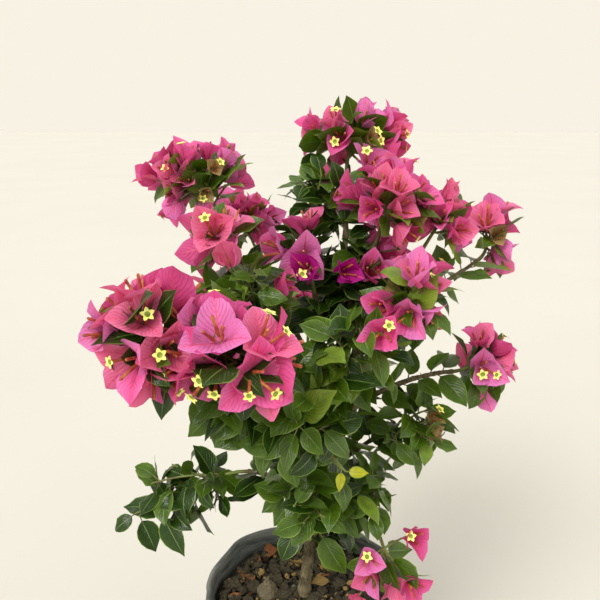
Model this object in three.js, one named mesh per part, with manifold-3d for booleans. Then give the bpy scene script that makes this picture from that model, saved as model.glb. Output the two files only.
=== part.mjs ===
// A flowering bougainvillea bush in its nursery pot, as a three.js scene graph.
// Millimetres, +Z up. The origin is the middle of the pot's flat underside, on the ground.
// Each limb is one tapering bough. Each mass of leaves or of blossom is one mesh that keeps to its own space.
import * as THREE from "three";
import { mergeVertices } from "three/addons/utils/BufferGeometryUtils.js";
import Module from "manifold-3d";

const wasm = await Module();
wasm.setup();

// ---- Driving dimensions ----

const CLEAR = 0.3; // gap between neighbouring solids
const GOLDEN = 2.399963; // golden angle, which spreads twigs and leaves evenly

const POT = {
  height: 175,
  rimRadius: 100.5,
  baseRadius: 75,
  wall: 3,
  floor: 4,
  lip: 2.5, // how far the rolled lip stands out
  lipHeight: 11,
  sides: 32,
  slack: 1.7, // how far the soft wall is out of round at the rim
};
const SOIL = { top: 155, bump: 3.2, foot: 16, rings: 4 };

const TRUNK = {
  path: [[-3, 14, 155], [3, 12, 215], [12, 8, 290], [23, 4, 365], [28, 3, 430]],
  root: 6.3,
  tip: 3.3,
  flare: 3.6, // extra radius of the root flare
  flareHeight: 20,
  sides: 9,
  segments: 12,
};

const LIMB = { sides: 5, segments: 4 };

// Leaves and bracts: the share of the length at which they are widest, how far the sides fold up from the
// midrib, how far the tip bends back, and the angle in radians that they open to from their twig.
const LEAF = { length: 50, width: 27, shoulder: 0.44, fold: 0.16, bend: 6, open: [1.0, 1.35] };
const BRACT = { length: 38, width: 30, shoulder: 0.42, fold: 0.14, bend: -2, open: [0.8, 1.0] };
const HUB = { radius: 2.4, thickness: 1.6 };
const TWIG = { stem: 1.9, root: 1.5, tip: 1.1 };

const COLOURS = {
  pot: 0x34373a,
  soil: 0x3b3229,
  bark: 0x7d6b50,
  bough: 0x6d6a48,
  leaf: 0x4c7233,
  blossom: 0xd2568f,
};

// Boughs: the limb each springs from, how far along it, the tip, how far the middle arches above the chord,
// and the radii at the root and at the tip.
const LIMBS = [
  { name: "bough_front_left", from: "trunk", share: 0.5, tip: [-60, -112, 446], arch: 8, root: 3.4, end: 2.1 },
  { name: "bough_far_left", from: "bough_front_left", share: 0.52, tip: [-90, -112, 462], arch: -4, root: 2.4, end: 1.9 },
  { name: "bough_left_front_leafy", from: "bough_front_left", share: 0.3, tip: [-64, -62, 404], arch: 0, root: 2.3, end: 1.8 },
  { name: "bough_front_leafy", from: "trunk", share: 0.42, tip: [-6, -58, 392], arch: -6, root: 2.5, end: 1.9 },
  { name: "bough_upper_left", from: "trunk", share: 0.68, tip: [-78, 60, 532], arch: -6, root: 3.3, end: 2.1 },
  { name: "bough_left_bloom", from: "bough_upper_left", share: 0.42, tip: [-58, -8, 512], arch: -4, root: 2.3, end: 1.8 },
  { name: "bough_left_leafy", from: "trunk", share: 0.74, tip: [-42, -34, 470], arch: -2, root: 2.4, end: 1.8 },
  { name: "bough_left_inner", from: "trunk", share: 0.56, tip: [-58, 30, 408], arch: -4, root: 2.4, end: 1.8 },
  { name: "bough_top", from: "trunk", share: 1, tip: [34, 42, 580], arch: 0, root: 3.2, end: 2.1 },
  { name: "bough_top_leafy", from: "bough_top", share: 0.3, tip: [4, 34, 528], arch: -4, root: 2.1, end: 1.7 },
  { name: "bough_top_right", from: "bough_top", share: 0.2, tip: [58, 8, 524], arch: -5, root: 2.5, end: 2.0 },
  { name: "bough_middle", from: "trunk", share: 0.93, tip: [6, -4, 482], arch: -2, root: 2.2, end: 1.7 },
  { name: "bough_upper_right", from: "trunk", share: 0.86, tip: [100, 20, 514], arch: -4, root: 2.9, end: 1.9 },
  { name: "bough_right_tip", from: "bough_upper_right", share: 0.6, tip: [160, 50, 500], arch: -5, root: 2.1, end: 1.7 },
  { name: "bough_front_right", from: "trunk", share: 0.78, tip: [76, -34, 456], arch: -4, root: 2.6, end: 1.9 },
  { name: "bough_centre_leafy", from: "trunk", share: 0.66, tip: [32, -42, 424], arch: -4, root: 2.3, end: 1.8 },
  { name: "bough_right", from: "trunk", share: 0.72, tip: [134, 14, 402], arch: 10, root: 2.8, end: 1.9 },
  { name: "bough_right_leafy", from: "trunk", share: 0.5, tip: [70, 0, 346], arch: 4, root: 2.4, end: 1.8 },
  { name: "bough_low_right", from: "trunk", share: 0.4, tip: [64, -38, 266], arch: 34, root: 2.6, end: 1.9 },
  { name: "bough_low_left", from: "trunk", share: 0.36, tip: [-56, 0, 306], arch: 12, root: 2.6, end: 1.9 },
  { name: "bough_back_left_leafy", from: "trunk", share: 0.5, tip: [-48, 66, 410], arch: -4, root: 2.5, end: 1.9 },
  { name: "bough_back_left", from: "trunk", share: 0.8, tip: [-50, 118, 488], arch: -6, root: 2.9, end: 1.9 },
  { name: "bough_back_right", from: "trunk", share: 0.9, tip: [72, 106, 508], arch: -6, root: 2.8, end: 1.9 },
  { name: "bough_back_right_leafy", from: "trunk", share: 0.62, tip: [62, 56, 412], arch: -2, root: 2.4, end: 1.8 },
  { name: "bough_back_low", from: "trunk", share: 0.46, tip: [2, 126, 384], arch: -2, root: 2.6, end: 1.9 },
];

// Masses: the limb whose tip each grows from (or the trunk, with how far along it), centre, half-sizes,
// and how many twigs or blooms it carries.
const BLOSSOM = [
  { name: "blossom_far_left", limb: "bough_far_left", at: [-101, -146, 496], reach: [40, 36, 42], count: 6 },
  { name: "blossom_front_left", limb: "bough_front_left", at: [-52, -146, 479], reach: [50, 36, 42], count: 9 },
  { name: "blossom_left", limb: "bough_left_bloom", at: [-70, -30, 534], reach: [38, 30, 32], count: 4 },
  { name: "blossom_upper_left", limb: "bough_upper_left", at: [-100, 66, 569], reach: [60, 36, 42], count: 8 },
  { name: "blossom_top", limb: "bough_top", at: [39, 50, 607], reach: [56, 34, 38], count: 8 },
  { name: "blossom_top_right", limb: "bough_top_right", at: [66, 6, 556], reach: [44, 36, 42], count: 7 },
  { name: "blossom_upper_right", limb: "bough_upper_right", at: [114, 18, 540], reach: [32, 32, 42], count: 5 },
  { name: "blossom_right_tip", limb: "bough_right_tip", at: [168, 56, 518], reach: [32, 30, 40], count: 4 },
  { name: "blossom_front_right", limb: "bough_front_right", at: [80, -48, 488], reach: [42, 36, 42], count: 5 },
  { name: "blossom_right", limb: "bough_right", at: [153, 14, 410], reach: [38, 34, 46], count: 5 },
  { name: "blossom_low_right", limb: "bough_low_right", at: [72, -38, 242], reach: [44, 32, 44], count: 5 },
  { name: "blossom_middle", limb: "bough_middle", at: [0, -4, 520], reach: [40, 34, 38], count: 4 },
  { name: "blossom_back_left", limb: "bough_back_left", at: [-68, 146, 520], reach: [44, 38, 36], count: 6 },
  { name: "blossom_back_right", limb: "bough_back_right", at: [84, 136, 540], reach: [44, 38, 36], count: 6 },
  { name: "blossom_back", limb: "bough_back_low", at: [4, 164, 414], reach: [42, 34, 36], count: 5 },
];
const FOLIAGE = [
  { name: "foliage_top", limb: "bough_top_leafy", at: [20, 42, 562], reach: [44, 42, 42], count: 6 },
  { name: "foliage_left", limb: "bough_left_leafy", at: [-50, -48, 496], reach: [44, 40, 40], count: 5 },
  { name: "foliage_left_inner", limb: "bough_left_inner", at: [-82, 34, 444], reach: [48, 44, 48], count: 5 },
  { name: "foliage_left_front", limb: "bough_left_front_leafy", at: [-64, -86, 426], reach: [42, 40, 38], count: 6 },
  { name: "foliage_centre", limb: "bough_centre_leafy", at: [28, -72, 450], reach: [42, 42, 48], count: 6 },
  { name: "foliage_front", limb: "bough_front_leafy", at: [-8, -92, 410], reach: [50, 44, 50], count: 7 },
  { name: "foliage_low_left", limb: "bough_low_left", at: [-111, -2, 287], reach: [64, 36, 46], count: 6 },
  { name: "foliage_low_front", limb: "trunk", share: 0.34, at: [0, -58, 326], reach: [46, 46, 46], count: 7 },
  { name: "foliage_right", limb: "bough_right_leafy", at: [92, -8, 356], reach: [44, 36, 46], count: 4 },
  { name: "foliage_low_right", limb: "trunk", share: 0.28, at: [46, -30, 300], reach: [40, 40, 42], count: 4 },
  { name: "foliage_heart", limb: "trunk", share: 0.93, at: [42, 22, 486], reach: [56, 46, 48], count: 6 },
  { name: "foliage_back_left", limb: "bough_back_left_leafy", at: [-68, 102, 440], reach: [52, 48, 48], count: 7 },
  { name: "foliage_back_right", limb: "bough_back_right_leafy", at: [88, 86, 440], reach: [52, 48, 48], count: 5 },
  { name: "foliage_back_low", limb: "trunk", share: 0.32, at: [4, 78, 326], reach: [52, 48, 46], count: 6 },
  { name: "foliage_foot", limb: "trunk", share: 0.2, at: [22, 24, 224], reach: [44, 40, 32], count: 4 },
];
const END_LEAVES = 5; // at a leafy twig's end
const SIDE_LEAVES = 3; // halfway along it

// ---- Draws ----

// A fixed number from 0 to 1 for each pair of whole numbers.
function draw(seed, index) {
  let h = Math.imul(seed + 1, 0x9e3779b1) ^ Math.imul(index + 1, 0x85ebca6b);
  h = Math.imul(h ^ (h >>> 15), 0x2c1b3c6d);
  h = Math.imul(h ^ (h >>> 12), 0x297a2d39);
  return ((h ^ (h >>> 15)) >>> 0) / 4294967296;
}

const vec = (p) => new THREE.Vector3(...p);
const UP = new THREE.Vector3(0, 0, 1);

// ---- Solids ----

function solidOf(geometry, matrix = new THREE.Matrix4()) {
  const bare = geometry.clone().applyMatrix4(matrix);
  bare.deleteAttribute("normal");
  bare.deleteAttribute("uv");
  const merged = mergeVertices(bare, 1e-4);
  const corners = merged.index.array;
  const facets = [];
  for (let i = 0; i < corners.length; i += 3) {
    const [a, b, c] = corners.slice(i, i + 3);
    if (a !== b && b !== c && c !== a) facets.push(a, b, c);
  }
  return new wasm.Manifold(
    new wasm.Mesh({
      numProp: 3,
      vertProperties: merged.attributes.position.array,
      triVerts: new Uint32Array(facets),
    }),
  );
}

function largestOf(solid) {
  return solid.decompose().reduce((a, b) => (a.volume() > b.volume() ? a : b));
}

function meshOf(name, solid, colour, roughness) {
  const { numProp, numVert, vertProperties, triVerts } = solid.getMesh();
  const position = new Float32Array(numVert * 3);
  for (let i = 0; i < numVert; i++) {
    position.set(vertProperties.subarray(i * numProp, i * numProp + 3), i * 3);
  }
  const geometry = new THREE.BufferGeometry();
  geometry.setAttribute("position", new THREE.BufferAttribute(position, 3));
  geometry.setIndex(new THREE.BufferAttribute(triVerts, 1));
  geometry.computeVertexNormals();
  const material = new THREE.MeshStandardMaterial({ color: colour, roughness, metalness: 0 });
  const mesh = new THREE.Mesh(geometry, material);
  mesh.name = name;
  return mesh;
}

// A closed cylinder bent along a curve, with a radius for each share of the way along it.
function bentRod(curve, radiusAt, sides, segments) {
  const frames = curve.computeFrenetFrames(segments);
  const rod = new THREE.CylinderGeometry(1, 1, segments, sides, segments);
  const position = rod.attributes.position;
  for (let i = 0; i < position.count; i++) {
    const step = Math.round(position.getY(i) + segments / 2);
    const share = step / segments;
    const radius = radiusAt(share);
    const place = curve
      .getPoint(share)
      .addScaledVector(frames.normals[step], position.getZ(i) * radius)
      .addScaledVector(frames.binormals[step], position.getX(i) * radius);
    position.setXYZ(i, place.x, place.y, place.z);
  }
  return rod;
}

// ---- Pot and soil ----

// How far the soft wall is out of round at an angle, for a height share from 0 at the base to 1 at the rim.
function slackAt(angle, share) {
  const lobes = Math.sin(3 * angle + 0.6) + 0.7 * Math.sin(5 * angle + 2.1);
  return POT.slack * share * lobes;
}

function potRadius(z) {
  return POT.baseRadius + ((POT.rimRadius - POT.baseRadius) * z) / POT.height;
}

// Pulls a turned shape out of round as the pot's wall is. The lathe turns about Y, which becomes Z.
function softened(lathe) {
  lathe.rotateX(Math.PI / 2);
  const position = lathe.attributes.position;
  for (let i = 0; i < position.count; i++) {
    const [x, y, z] = [position.getX(i), position.getY(i), position.getZ(i)];
    const radius = Math.hypot(x, y);
    if (radius < 1e-6) continue;
    const share = THREE.MathUtils.clamp(z / POT.height, 0, 1);
    const scale = 1 + (slackAt(Math.atan2(y, x), share) * (radius / potRadius(z))) / radius;
    position.setXY(i, x * scale, y * scale);
  }
  return lathe;
}

function potSolid() {
  const { height, wall, floor, lip, lipHeight } = POT;
  const underLip = height - lipHeight;
  const profile = [
    [0, 0],
    [potRadius(0), 0],
    [potRadius(underLip), underLip],
    [potRadius(underLip) + lip, underLip + 2],
    [potRadius(height) + lip * 0.6, height - 1.5],
    [potRadius(height) - wall * 0.5, height],
    [potRadius(height) - wall, height - 2],
    [potRadius(floor) - wall, floor],
    [0, floor],
  ];
  const points = profile.map(([r, z]) => new THREE.Vector2(r, z));
  return solidOf(softened(new THREE.LatheGeometry(points, POT.sides)));
}

function soilSolid() {
  const bottom = POT.floor + CLEAR;
  const wallAt = (z) => potRadius(z) - POT.wall - 3.2 * CLEAR;
  const points = [new THREE.Vector2(0, bottom), new THREE.Vector2(wallAt(bottom), bottom)];
  for (let ring = SOIL.rings; ring > 0; ring--) {
    points.push(new THREE.Vector2((wallAt(SOIL.top) * ring) / SOIL.rings, SOIL.top));
  }
  points.push(new THREE.Vector2(0, SOIL.top));
  const lathe = softened(new THREE.LatheGeometry(points, POT.sides));
  // Crumbs lift the top, apart from a level patch under the trunk's foot.
  const position = lathe.attributes.position;
  const foot = TRUNK.path[0];
  for (let i = 0; i < position.count; i++) {
    const [x, y, z] = [position.getX(i), position.getY(i), position.getZ(i)];
    const atWall = Math.hypot(x, y) > potRadius(SOIL.top) - 12;
    if (z < SOIL.top - 1 || atWall || Math.hypot(x - foot[0], y - foot[1]) < SOIL.foot) continue;
    const waves = Math.sin(x * 0.11 + 1) * Math.cos(y * 0.13) + Math.sin(x * 0.31 + y * 0.27);
    position.setZ(i, SOIL.top + 0.5 * SOIL.bump * waves - 0.4 * SOIL.bump);
  }
  return solidOf(lathe);
}

// ---- Limbs ----

const limbs = new Map();

function addLimb(name, curve, radiusAt, sides, segments, cutter) {
  let solid = solidOf(bentRod(curve, radiusAt, sides, segments));
  const fat = solidOf(bentRod(curve, (s) => radiusAt(s) + CLEAR + 0.05, sides, segments));
  if (cutter) solid = largestOf(solid.subtract(cutter));
  limbs.set(name, { name, curve, radiusAt, solid, fat });
}

function trunkRadius(share) {
  const { path, root, tip, flare, flareHeight } = TRUNK;
  const rise = share * (path.at(-1)[2] - path[0][2]);
  return THREE.MathUtils.lerp(root, tip, share) + flare * Math.exp((-3 * rise) / flareHeight);
}

// A bough leaves its parent's middle line and runs in one arch to its tip.
function boughCurve({ from, share, tip, arch }) {
  const parent = limbs.get(from);
  const start = parent.curve.getPoint(share);
  const end = vec(tip);
  if (share === 1) {
    const way = parent.curve.getTangent(1);
    start.addScaledVector(way, CLEAR + 0.02);
    const bend = start.clone().addScaledVector(way, 0.4 * start.distanceTo(end));
    return new THREE.QuadraticBezierCurve3(start, bend, end);
  }
  const bend = start.clone().lerp(end, 0.55).addScaledVector(UP, 2 * arch);
  return new THREE.QuadraticBezierCurve3(start, bend, end);
}

function makeLimbs() {
  const line = new THREE.CatmullRomCurve3(TRUNK.path.map(vec));
  addLimb("trunk", line, trunkRadius, TRUNK.sides, TRUNK.segments);
  // The foot is cut flat, just clear of the soil.
  const ground = solidOf(new THREE.BoxGeometry(80, 80, 40).translate(-3, 14, SOIL.top + CLEAR - 20));
  const trunk = limbs.get("trunk");
  trunk.solid = largestOf(trunk.solid.subtract(ground));
  for (const row of LIMBS) {
    const radiusAt = (s) => THREE.MathUtils.lerp(row.root, row.end, s);
    const cutter = row.share === 1 ? null : limbs.get(row.from).fat;
    addLimb(row.name, boughCurve(row), radiusAt, LIMB.sides, LIMB.segments, cutter);
  }
}

// ---- Whorls ----

// Where a place on a blade lies, from the middle of its whorl, whose axis is Z.
function bladePoint({ length, width, fold, bend }, { turn, open, size }, along, across) {
  const outward = new THREE.Vector3(Math.cos(turn), Math.sin(turn), 0);
  const side = new THREE.Vector3(-Math.sin(turn), Math.cos(turn), 0);
  const way = outward.clone().multiplyScalar(Math.sin(open)).addScaledVector(UP, Math.cos(open));
  const face = UP.clone().multiplyScalar(Math.sin(open)).addScaledVector(outward, -Math.cos(open));
  const half = (across * width * size) / 2;
  return way
    .multiplyScalar(along * length * size)
    .addScaledVector(side, half)
    .addScaledVector(face, Math.abs(half) * fold - bend * size * along * along);
}

// Two or more blades round a small hub, as one solid. Their outline is drawn flat, extruded and pinched to
// sharp edges, and each blade is raised to its own angle.
function whorl(shape, blades, extra = 0) {
  const outline = [];
  const places = [];
  const grown = { ...shape, length: shape.length + extra, width: shape.width + extra };
  blades.forEach((blade, k) => {
    const before = blades.at(k - 1).turn - (k === 0 ? 2 * Math.PI : 0);
    const notch = (blade.turn + before) / 2;
    const radius = HUB.radius + extra / 2;
    outline.push(new THREE.Vector2(Math.cos(notch), Math.sin(notch)));
    places.push(new THREE.Vector3(radius * Math.cos(notch), radius * Math.sin(notch), 0));
    const marks = [[0.5, -0.5, 5], [1, 0, 12], [0.5, 0.5, 5]];
    for (const [along, across, reach] of marks) {
      const turn = blade.turn + across;
      outline.push(new THREE.Vector2(Math.cos(turn), Math.sin(turn)).multiplyScalar(reach));
      places.push(bladePoint(grown, blade, along === 1 ? 1 : shape.shoulder, 2 * across));
    }
  });
  const solid = new THREE.ExtrudeGeometry(new THREE.Shape(outline), { depth: 1, bevelEnabled: false });
  const position = solid.attributes.position;
  for (let i = 0; i < position.count; i++) {
    const flat = new THREE.Vector2(position.getX(i), position.getY(i));
    const mark = outline.findIndex((point) => point.distanceTo(flat) < 1e-3);
    const lift = mark % 4 === 0 ? (position.getZ(i) - 0.5) * (HUB.thickness + extra) : 0;
    position.setXYZ(i, places[mark].x, places[mark].y, places[mark].z + lift);
  }
  return solid;
}

// ---- Masses ----

const WHORL_SIZES = [1, 0.85, 0.7];
const WHORL_TURNS = 5;

const masses = [];
const limbBlocks = []; // the limbs, a little fattened, which no twig or blade may touch

// The stem of a mass runs on from the tip of its bough, or out of the trunk's side, to its own middle.
function massStem(mass) {
  const limb = limbs.get(mass.limb);
  const centre = vec(mass.at);
  const onSide = mass.share !== undefined;
  const start = limb.curve.getPoint(onSide ? mass.share : 1);
  const way = onSide ? centre.clone().sub(start).normalize() : limb.curve.getTangent(1);
  if (!onSide) start.addScaledVector(way, CLEAR + 0.02);
  const bend = start.clone().addScaledVector(way, 0.4 * start.distanceTo(centre));
  const stem = new THREE.QuadraticBezierCurve3(start, bend, centre);
  const taper = (s) => THREE.MathUtils.lerp(TWIG.stem, TWIG.root, s);
  let solid = solidOf(bentRod(stem, taper, 4, 2));
  const fat = solidOf(bentRod(stem, (s) => taper(s) + CLEAR, 4, 2));
  if (onSide) solid = largestOf(solid.subtract(limb.fat));
  return { ...mass, centre, stem, solid, fat, axis: centre.clone().sub(start).normalize() };
}

// Evenly spread directions round a mass, from its axis back to where its stem comes in.
function spreadWay(mass, i, count, back) {
  const height = 1 - ((1 + back) * (i + 0.5)) / count;
  const turn = GOLDEN * i + 6.28 * draw(mass.seed, 900);
  const side = new THREE.Vector3().crossVectors(mass.axis, UP).normalize();
  const other = new THREE.Vector3().crossVectors(mass.axis, side);
  const flat = Math.sqrt(Math.max(0, 1 - height * height));
  return mass.axis
    .clone()
    .multiplyScalar(height)
    .addScaledVector(side, flat * Math.cos(turn))
    .addScaledVector(other, flat * Math.sin(turn));
}

function inReach(mass, way, inset) {
  const [x, y, z] = mass.reach.map((r) => Math.max(r - inset, 3));
  return mass.centre.clone().add(new THREE.Vector3(way.x * x, way.y * y, way.z * z));
}

// A long mass holds two or more balls side by side, so that its space follows its shape.
function ballsOf(mass) {
  const small = Math.min(...mass.reach);
  const [long, axis] = mass.reach.reduce((best, r, i) => (r > best[0] ? [r, i] : best), [0, 0]);
  const slide = new THREE.Vector3().setComponent(axis, Math.max(0, long - small));
  return [-1, 0, 1].map((k) => ({ at: mass.centre.clone().addScaledVector(slide, k), size: small }));
}

// Which mass's space a point lies in: the nearest ball, measured by its tangent.
function ownerOf(point) {
  let [best, least] = [null, Infinity];
  for (const mass of masses) {
    for (const ball of mass.balls) {
      const power = point.distanceToSquared(ball.at) - ball.size * ball.size;
      if (power < least) [best, least] = [mass, power];
    }
  }
  return best;
}

function clearOfPot(point) {
  const radius = Math.hypot(point.x, point.y);
  return point.z > POT.height + 2 || (radius < potRadius(SOIL.top) - 8 && point.z > SOIL.top + 6);
}

const taken = []; // every twig and blade that has found room, a little fattened

function boxesMeet(a, b) {
  return [0, 1, 2].every((k) => a.min[k] <= b.max[k] && b.min[k] <= a.max[k]);
}

// True if a solid touches no limb, no other mass's stem, and nothing that has found room already.
function isFree(mass, { test, box }, nearby) {
  const blocks = (o) => boxesMeet(box, o.box) && !test.intersect(o.test).isEmpty();
  const stems = masses.filter((m) => m !== mass).map((m) => m.stemBlock);
  return ![...limbBlocks, ...stems, ...nearby].some(blocks);
}

// A straight twig from the stem to a place, or null if something is in its way.
function fitTwig(mass, share, place) {
  const root = mass.stem.getPoint(share);
  const line = new THREE.LineCurve3(root, place);
  const taper = (s) => THREE.MathUtils.lerp(TWIG.root, TWIG.tip, s);
  const test = solidOf(bentRod(line, (s) => taper(s) + CLEAR, 3, 1));
  const piece = { mass, twig: true, test, box: test.boundingBox(), solid: solidOf(bentRod(line, taper, 3, 1)) };
  const nearby = taken.filter((t) => t.mass !== mass || !t.twig);
  if (!clearOfPot(place) || !isFree(mass, piece, nearby)) return null;
  return { ...piece, root, place, way: place.clone().sub(root).normalize() };
}

// The fullest whorl that finds room round a place on a twig, or null. It is tried at several turns and sizes,
// and a blade that would leave the mass's space is left out, or else the first whose absence makes room.
function fitWhorl(mass, shape, count, centre, way, seed, nearby) {
  const across = new THREE.Vector3().crossVectors(UP, way).normalize();
  const frame = new THREE.Matrix4().makeBasis(across, new THREE.Vector3().crossVectors(way, across), way);
  frame.setPosition(centre);
  const keepsIn = (blade) =>
    [[1, 0], [0.7, 0], [shape.shoulder, 1], [shape.shoulder, -1]].every(([along, side]) => {
      const point = bladePoint(shape, blade, along, side).applyMatrix4(frame);
      return ownerOf(point) === mass && clearOfPot(point);
    });
  let best = null;
  for (const size of WHORL_SIZES) {
    for (let spin = 0; spin < WHORL_TURNS; spin++) {
      const blades = [];
      for (let k = 0; k < count; k++) {
        const turn = ((k + spin / WHORL_TURNS + 0.15 * draw(seed, k)) * 2 * Math.PI) / count;
        const open = THREE.MathUtils.lerp(...shape.open, draw(seed, 10 + k));
        blades.push({ turn, open, size: size * (0.88 + 0.12 * draw(seed, 20 + k)) });
      }
      const kept = blades.filter(keepsIn);
      const choices = [kept, ...kept.map((_, left) => kept.filter((_, k) => k !== left))];
      for (const choice of choices) {
        if (choice.length < 2 || choice.length * size <= (best?.worth ?? 0)) continue;
        const test = solidOf(whorl(shape, choice, 2 * CLEAR), frame);
        const piece = { mass, test, box: test.boundingBox(), worth: choice.length * size };
        if (!isFree(mass, piece, nearby)) continue;
        best = { ...piece, solid: solidOf(whorl(shape, choice), frame) };
        break;
      }
    }
  }
  return best;
}

// Fills a mass's space: places for twigs are tried in turn, from side to side of it, until it has enough.
// A flowering twig has one bloom of three bracts at its end, and a leafy twig has leaves at its end and halfway.
function growMass(mass) {
  const blossom = mass.kind === "blossom";
  const shape = blossom ? BRACT : LEAF;
  const [inset, back] = blossom ? [0.72, 0.45] : [0.5, 0.7];
  const places = 5 * mass.count + 1;
  for (let i = 0, grown = 0; i < places && grown < mass.count; i++) {
    const way = spreadWay(mass, (4 * i) % places, places, back);
    const place = inReach(mass, way, shape.length * inset);
    const twig = fitTwig(mass, 0.4 + 0.55 * draw(mass.seed, i), place);
    if (!twig) continue;
    const nearby = taken.filter((other) => other !== twig);
    const seed = 100 * mass.seed + i;
    const end = fitWhorl(mass, shape, blossom ? 3 : END_LEAVES, place, twig.way, seed, nearby);
    if (!end) continue;
    const halfway = twig.root.clone().lerp(place, 0.5);
    const side = blossom ? null : fitWhorl(mass, shape, SIDE_LEAVES, halfway, twig.way, seed + 50, [...nearby, end]);
    const found = [twig, end, side].filter(Boolean);
    grown += 1;
    taken.push(...found);
    mass.pieces.push(...found.map((piece) => piece.solid));
  }
}

function makeMasses() {
  const rows = [
    ...BLOSSOM.map((row) => ({ ...row, kind: "blossom" })),
    ...FOLIAGE.map((row) => ({ ...row, kind: "foliage" })),
  ];
  rows.forEach((row, i) => masses.push(massStem({ ...row, seed: i + 1, pieces: [] })));
  for (const mass of masses) {
    mass.balls = ballsOf(mass);
    mass.stemBlock = { test: mass.fat, box: mass.fat.boundingBox() };
  }
  for (const { fat } of limbs.values()) limbBlocks.push({ test: fat, box: fat.boundingBox() });
  masses.forEach(growMass);
}

// ---- Assembly ----

makeLimbs();
makeMasses();

const bush = new THREE.Group();
bush.name = "bougainvillea_bush";
const stand = new THREE.Group();
stand.add(meshOf("pot", potSolid(), COLOURS.pot, 0.55));
stand.add(meshOf("soil", soilSolid(), COLOURS.soil, 0.95));
const frame = new THREE.Group();
for (const limb of limbs.values()) {
  frame.add(meshOf(limb.name, limb.solid, limb.name === "trunk" ? COLOURS.bark : COLOURS.bough, 0.85));
}
const crown = new THREE.Group();
for (const mass of masses) {
  const solid = largestOf(wasm.Manifold.union([mass.solid, ...mass.pieces]));
  crown.add(meshOf(mass.name, solid, mass.kind === "blossom" ? COLOURS.blossom : COLOURS.leaf, 0.6));
}
bush.add(stand, frame, crown);

export default bush;
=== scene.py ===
"""A flowering bougainvillea bush in its nursery pot, dressed in bark, leaves and papery bracts.

Metres, +Z up. The origin is the middle of the pot's flat underside, on the ground.
"""

import math

import bpy
import numpy as np
from mathutils import Matrix, Vector, noise


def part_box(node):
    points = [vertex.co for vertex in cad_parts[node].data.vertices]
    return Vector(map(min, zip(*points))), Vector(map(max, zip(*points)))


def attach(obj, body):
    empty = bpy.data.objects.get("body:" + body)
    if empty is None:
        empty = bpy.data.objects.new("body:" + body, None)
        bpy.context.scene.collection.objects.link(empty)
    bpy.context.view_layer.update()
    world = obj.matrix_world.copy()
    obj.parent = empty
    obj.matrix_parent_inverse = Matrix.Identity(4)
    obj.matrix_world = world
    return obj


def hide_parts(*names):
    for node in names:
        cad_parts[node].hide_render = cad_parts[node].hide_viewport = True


bl_info = {
    "name": "Potted Bougainvillea",
    "version": (1, 0, 0),
    "blender": (4, 5, 0),
    "location": "View3D > Sidebar > Bougainvillea",
    "description": "Grows a flowering bougainvillea bush in its nursery pot",
    "category": "Object",
}

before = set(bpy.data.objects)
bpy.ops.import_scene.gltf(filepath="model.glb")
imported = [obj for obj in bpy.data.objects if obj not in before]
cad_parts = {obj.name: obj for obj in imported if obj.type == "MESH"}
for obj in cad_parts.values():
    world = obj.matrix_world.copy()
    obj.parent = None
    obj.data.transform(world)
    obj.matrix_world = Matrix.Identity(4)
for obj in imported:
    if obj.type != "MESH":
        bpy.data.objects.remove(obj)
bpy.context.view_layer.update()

MM = 0.001
UP = Vector((0, 0, 1))
# Angles in radians: the turn from each leaf to the next, a whole turn and a third of one
GOLDEN, TURN, THIRD = 2.399963, 6.28, 2.094

# ---- The plant's plan: its limbs and the spaces that its leaves and blossom fill, in millimetres ----

TRUNK_PATH = ((-3, 14, 155), (3, 12, 215), (12, 8, 290), (23, 4, 365), (28, 3, 430))
TRUNK_RADII = (6.3, 3.3)
TRUNK_FLARE = (1.2, 8)  # extra radius at the foot, and the distance over which most of it goes
BOUGH_SWELL = (1.1, 6)  # the same, where a bough leaves the side of its limb

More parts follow.
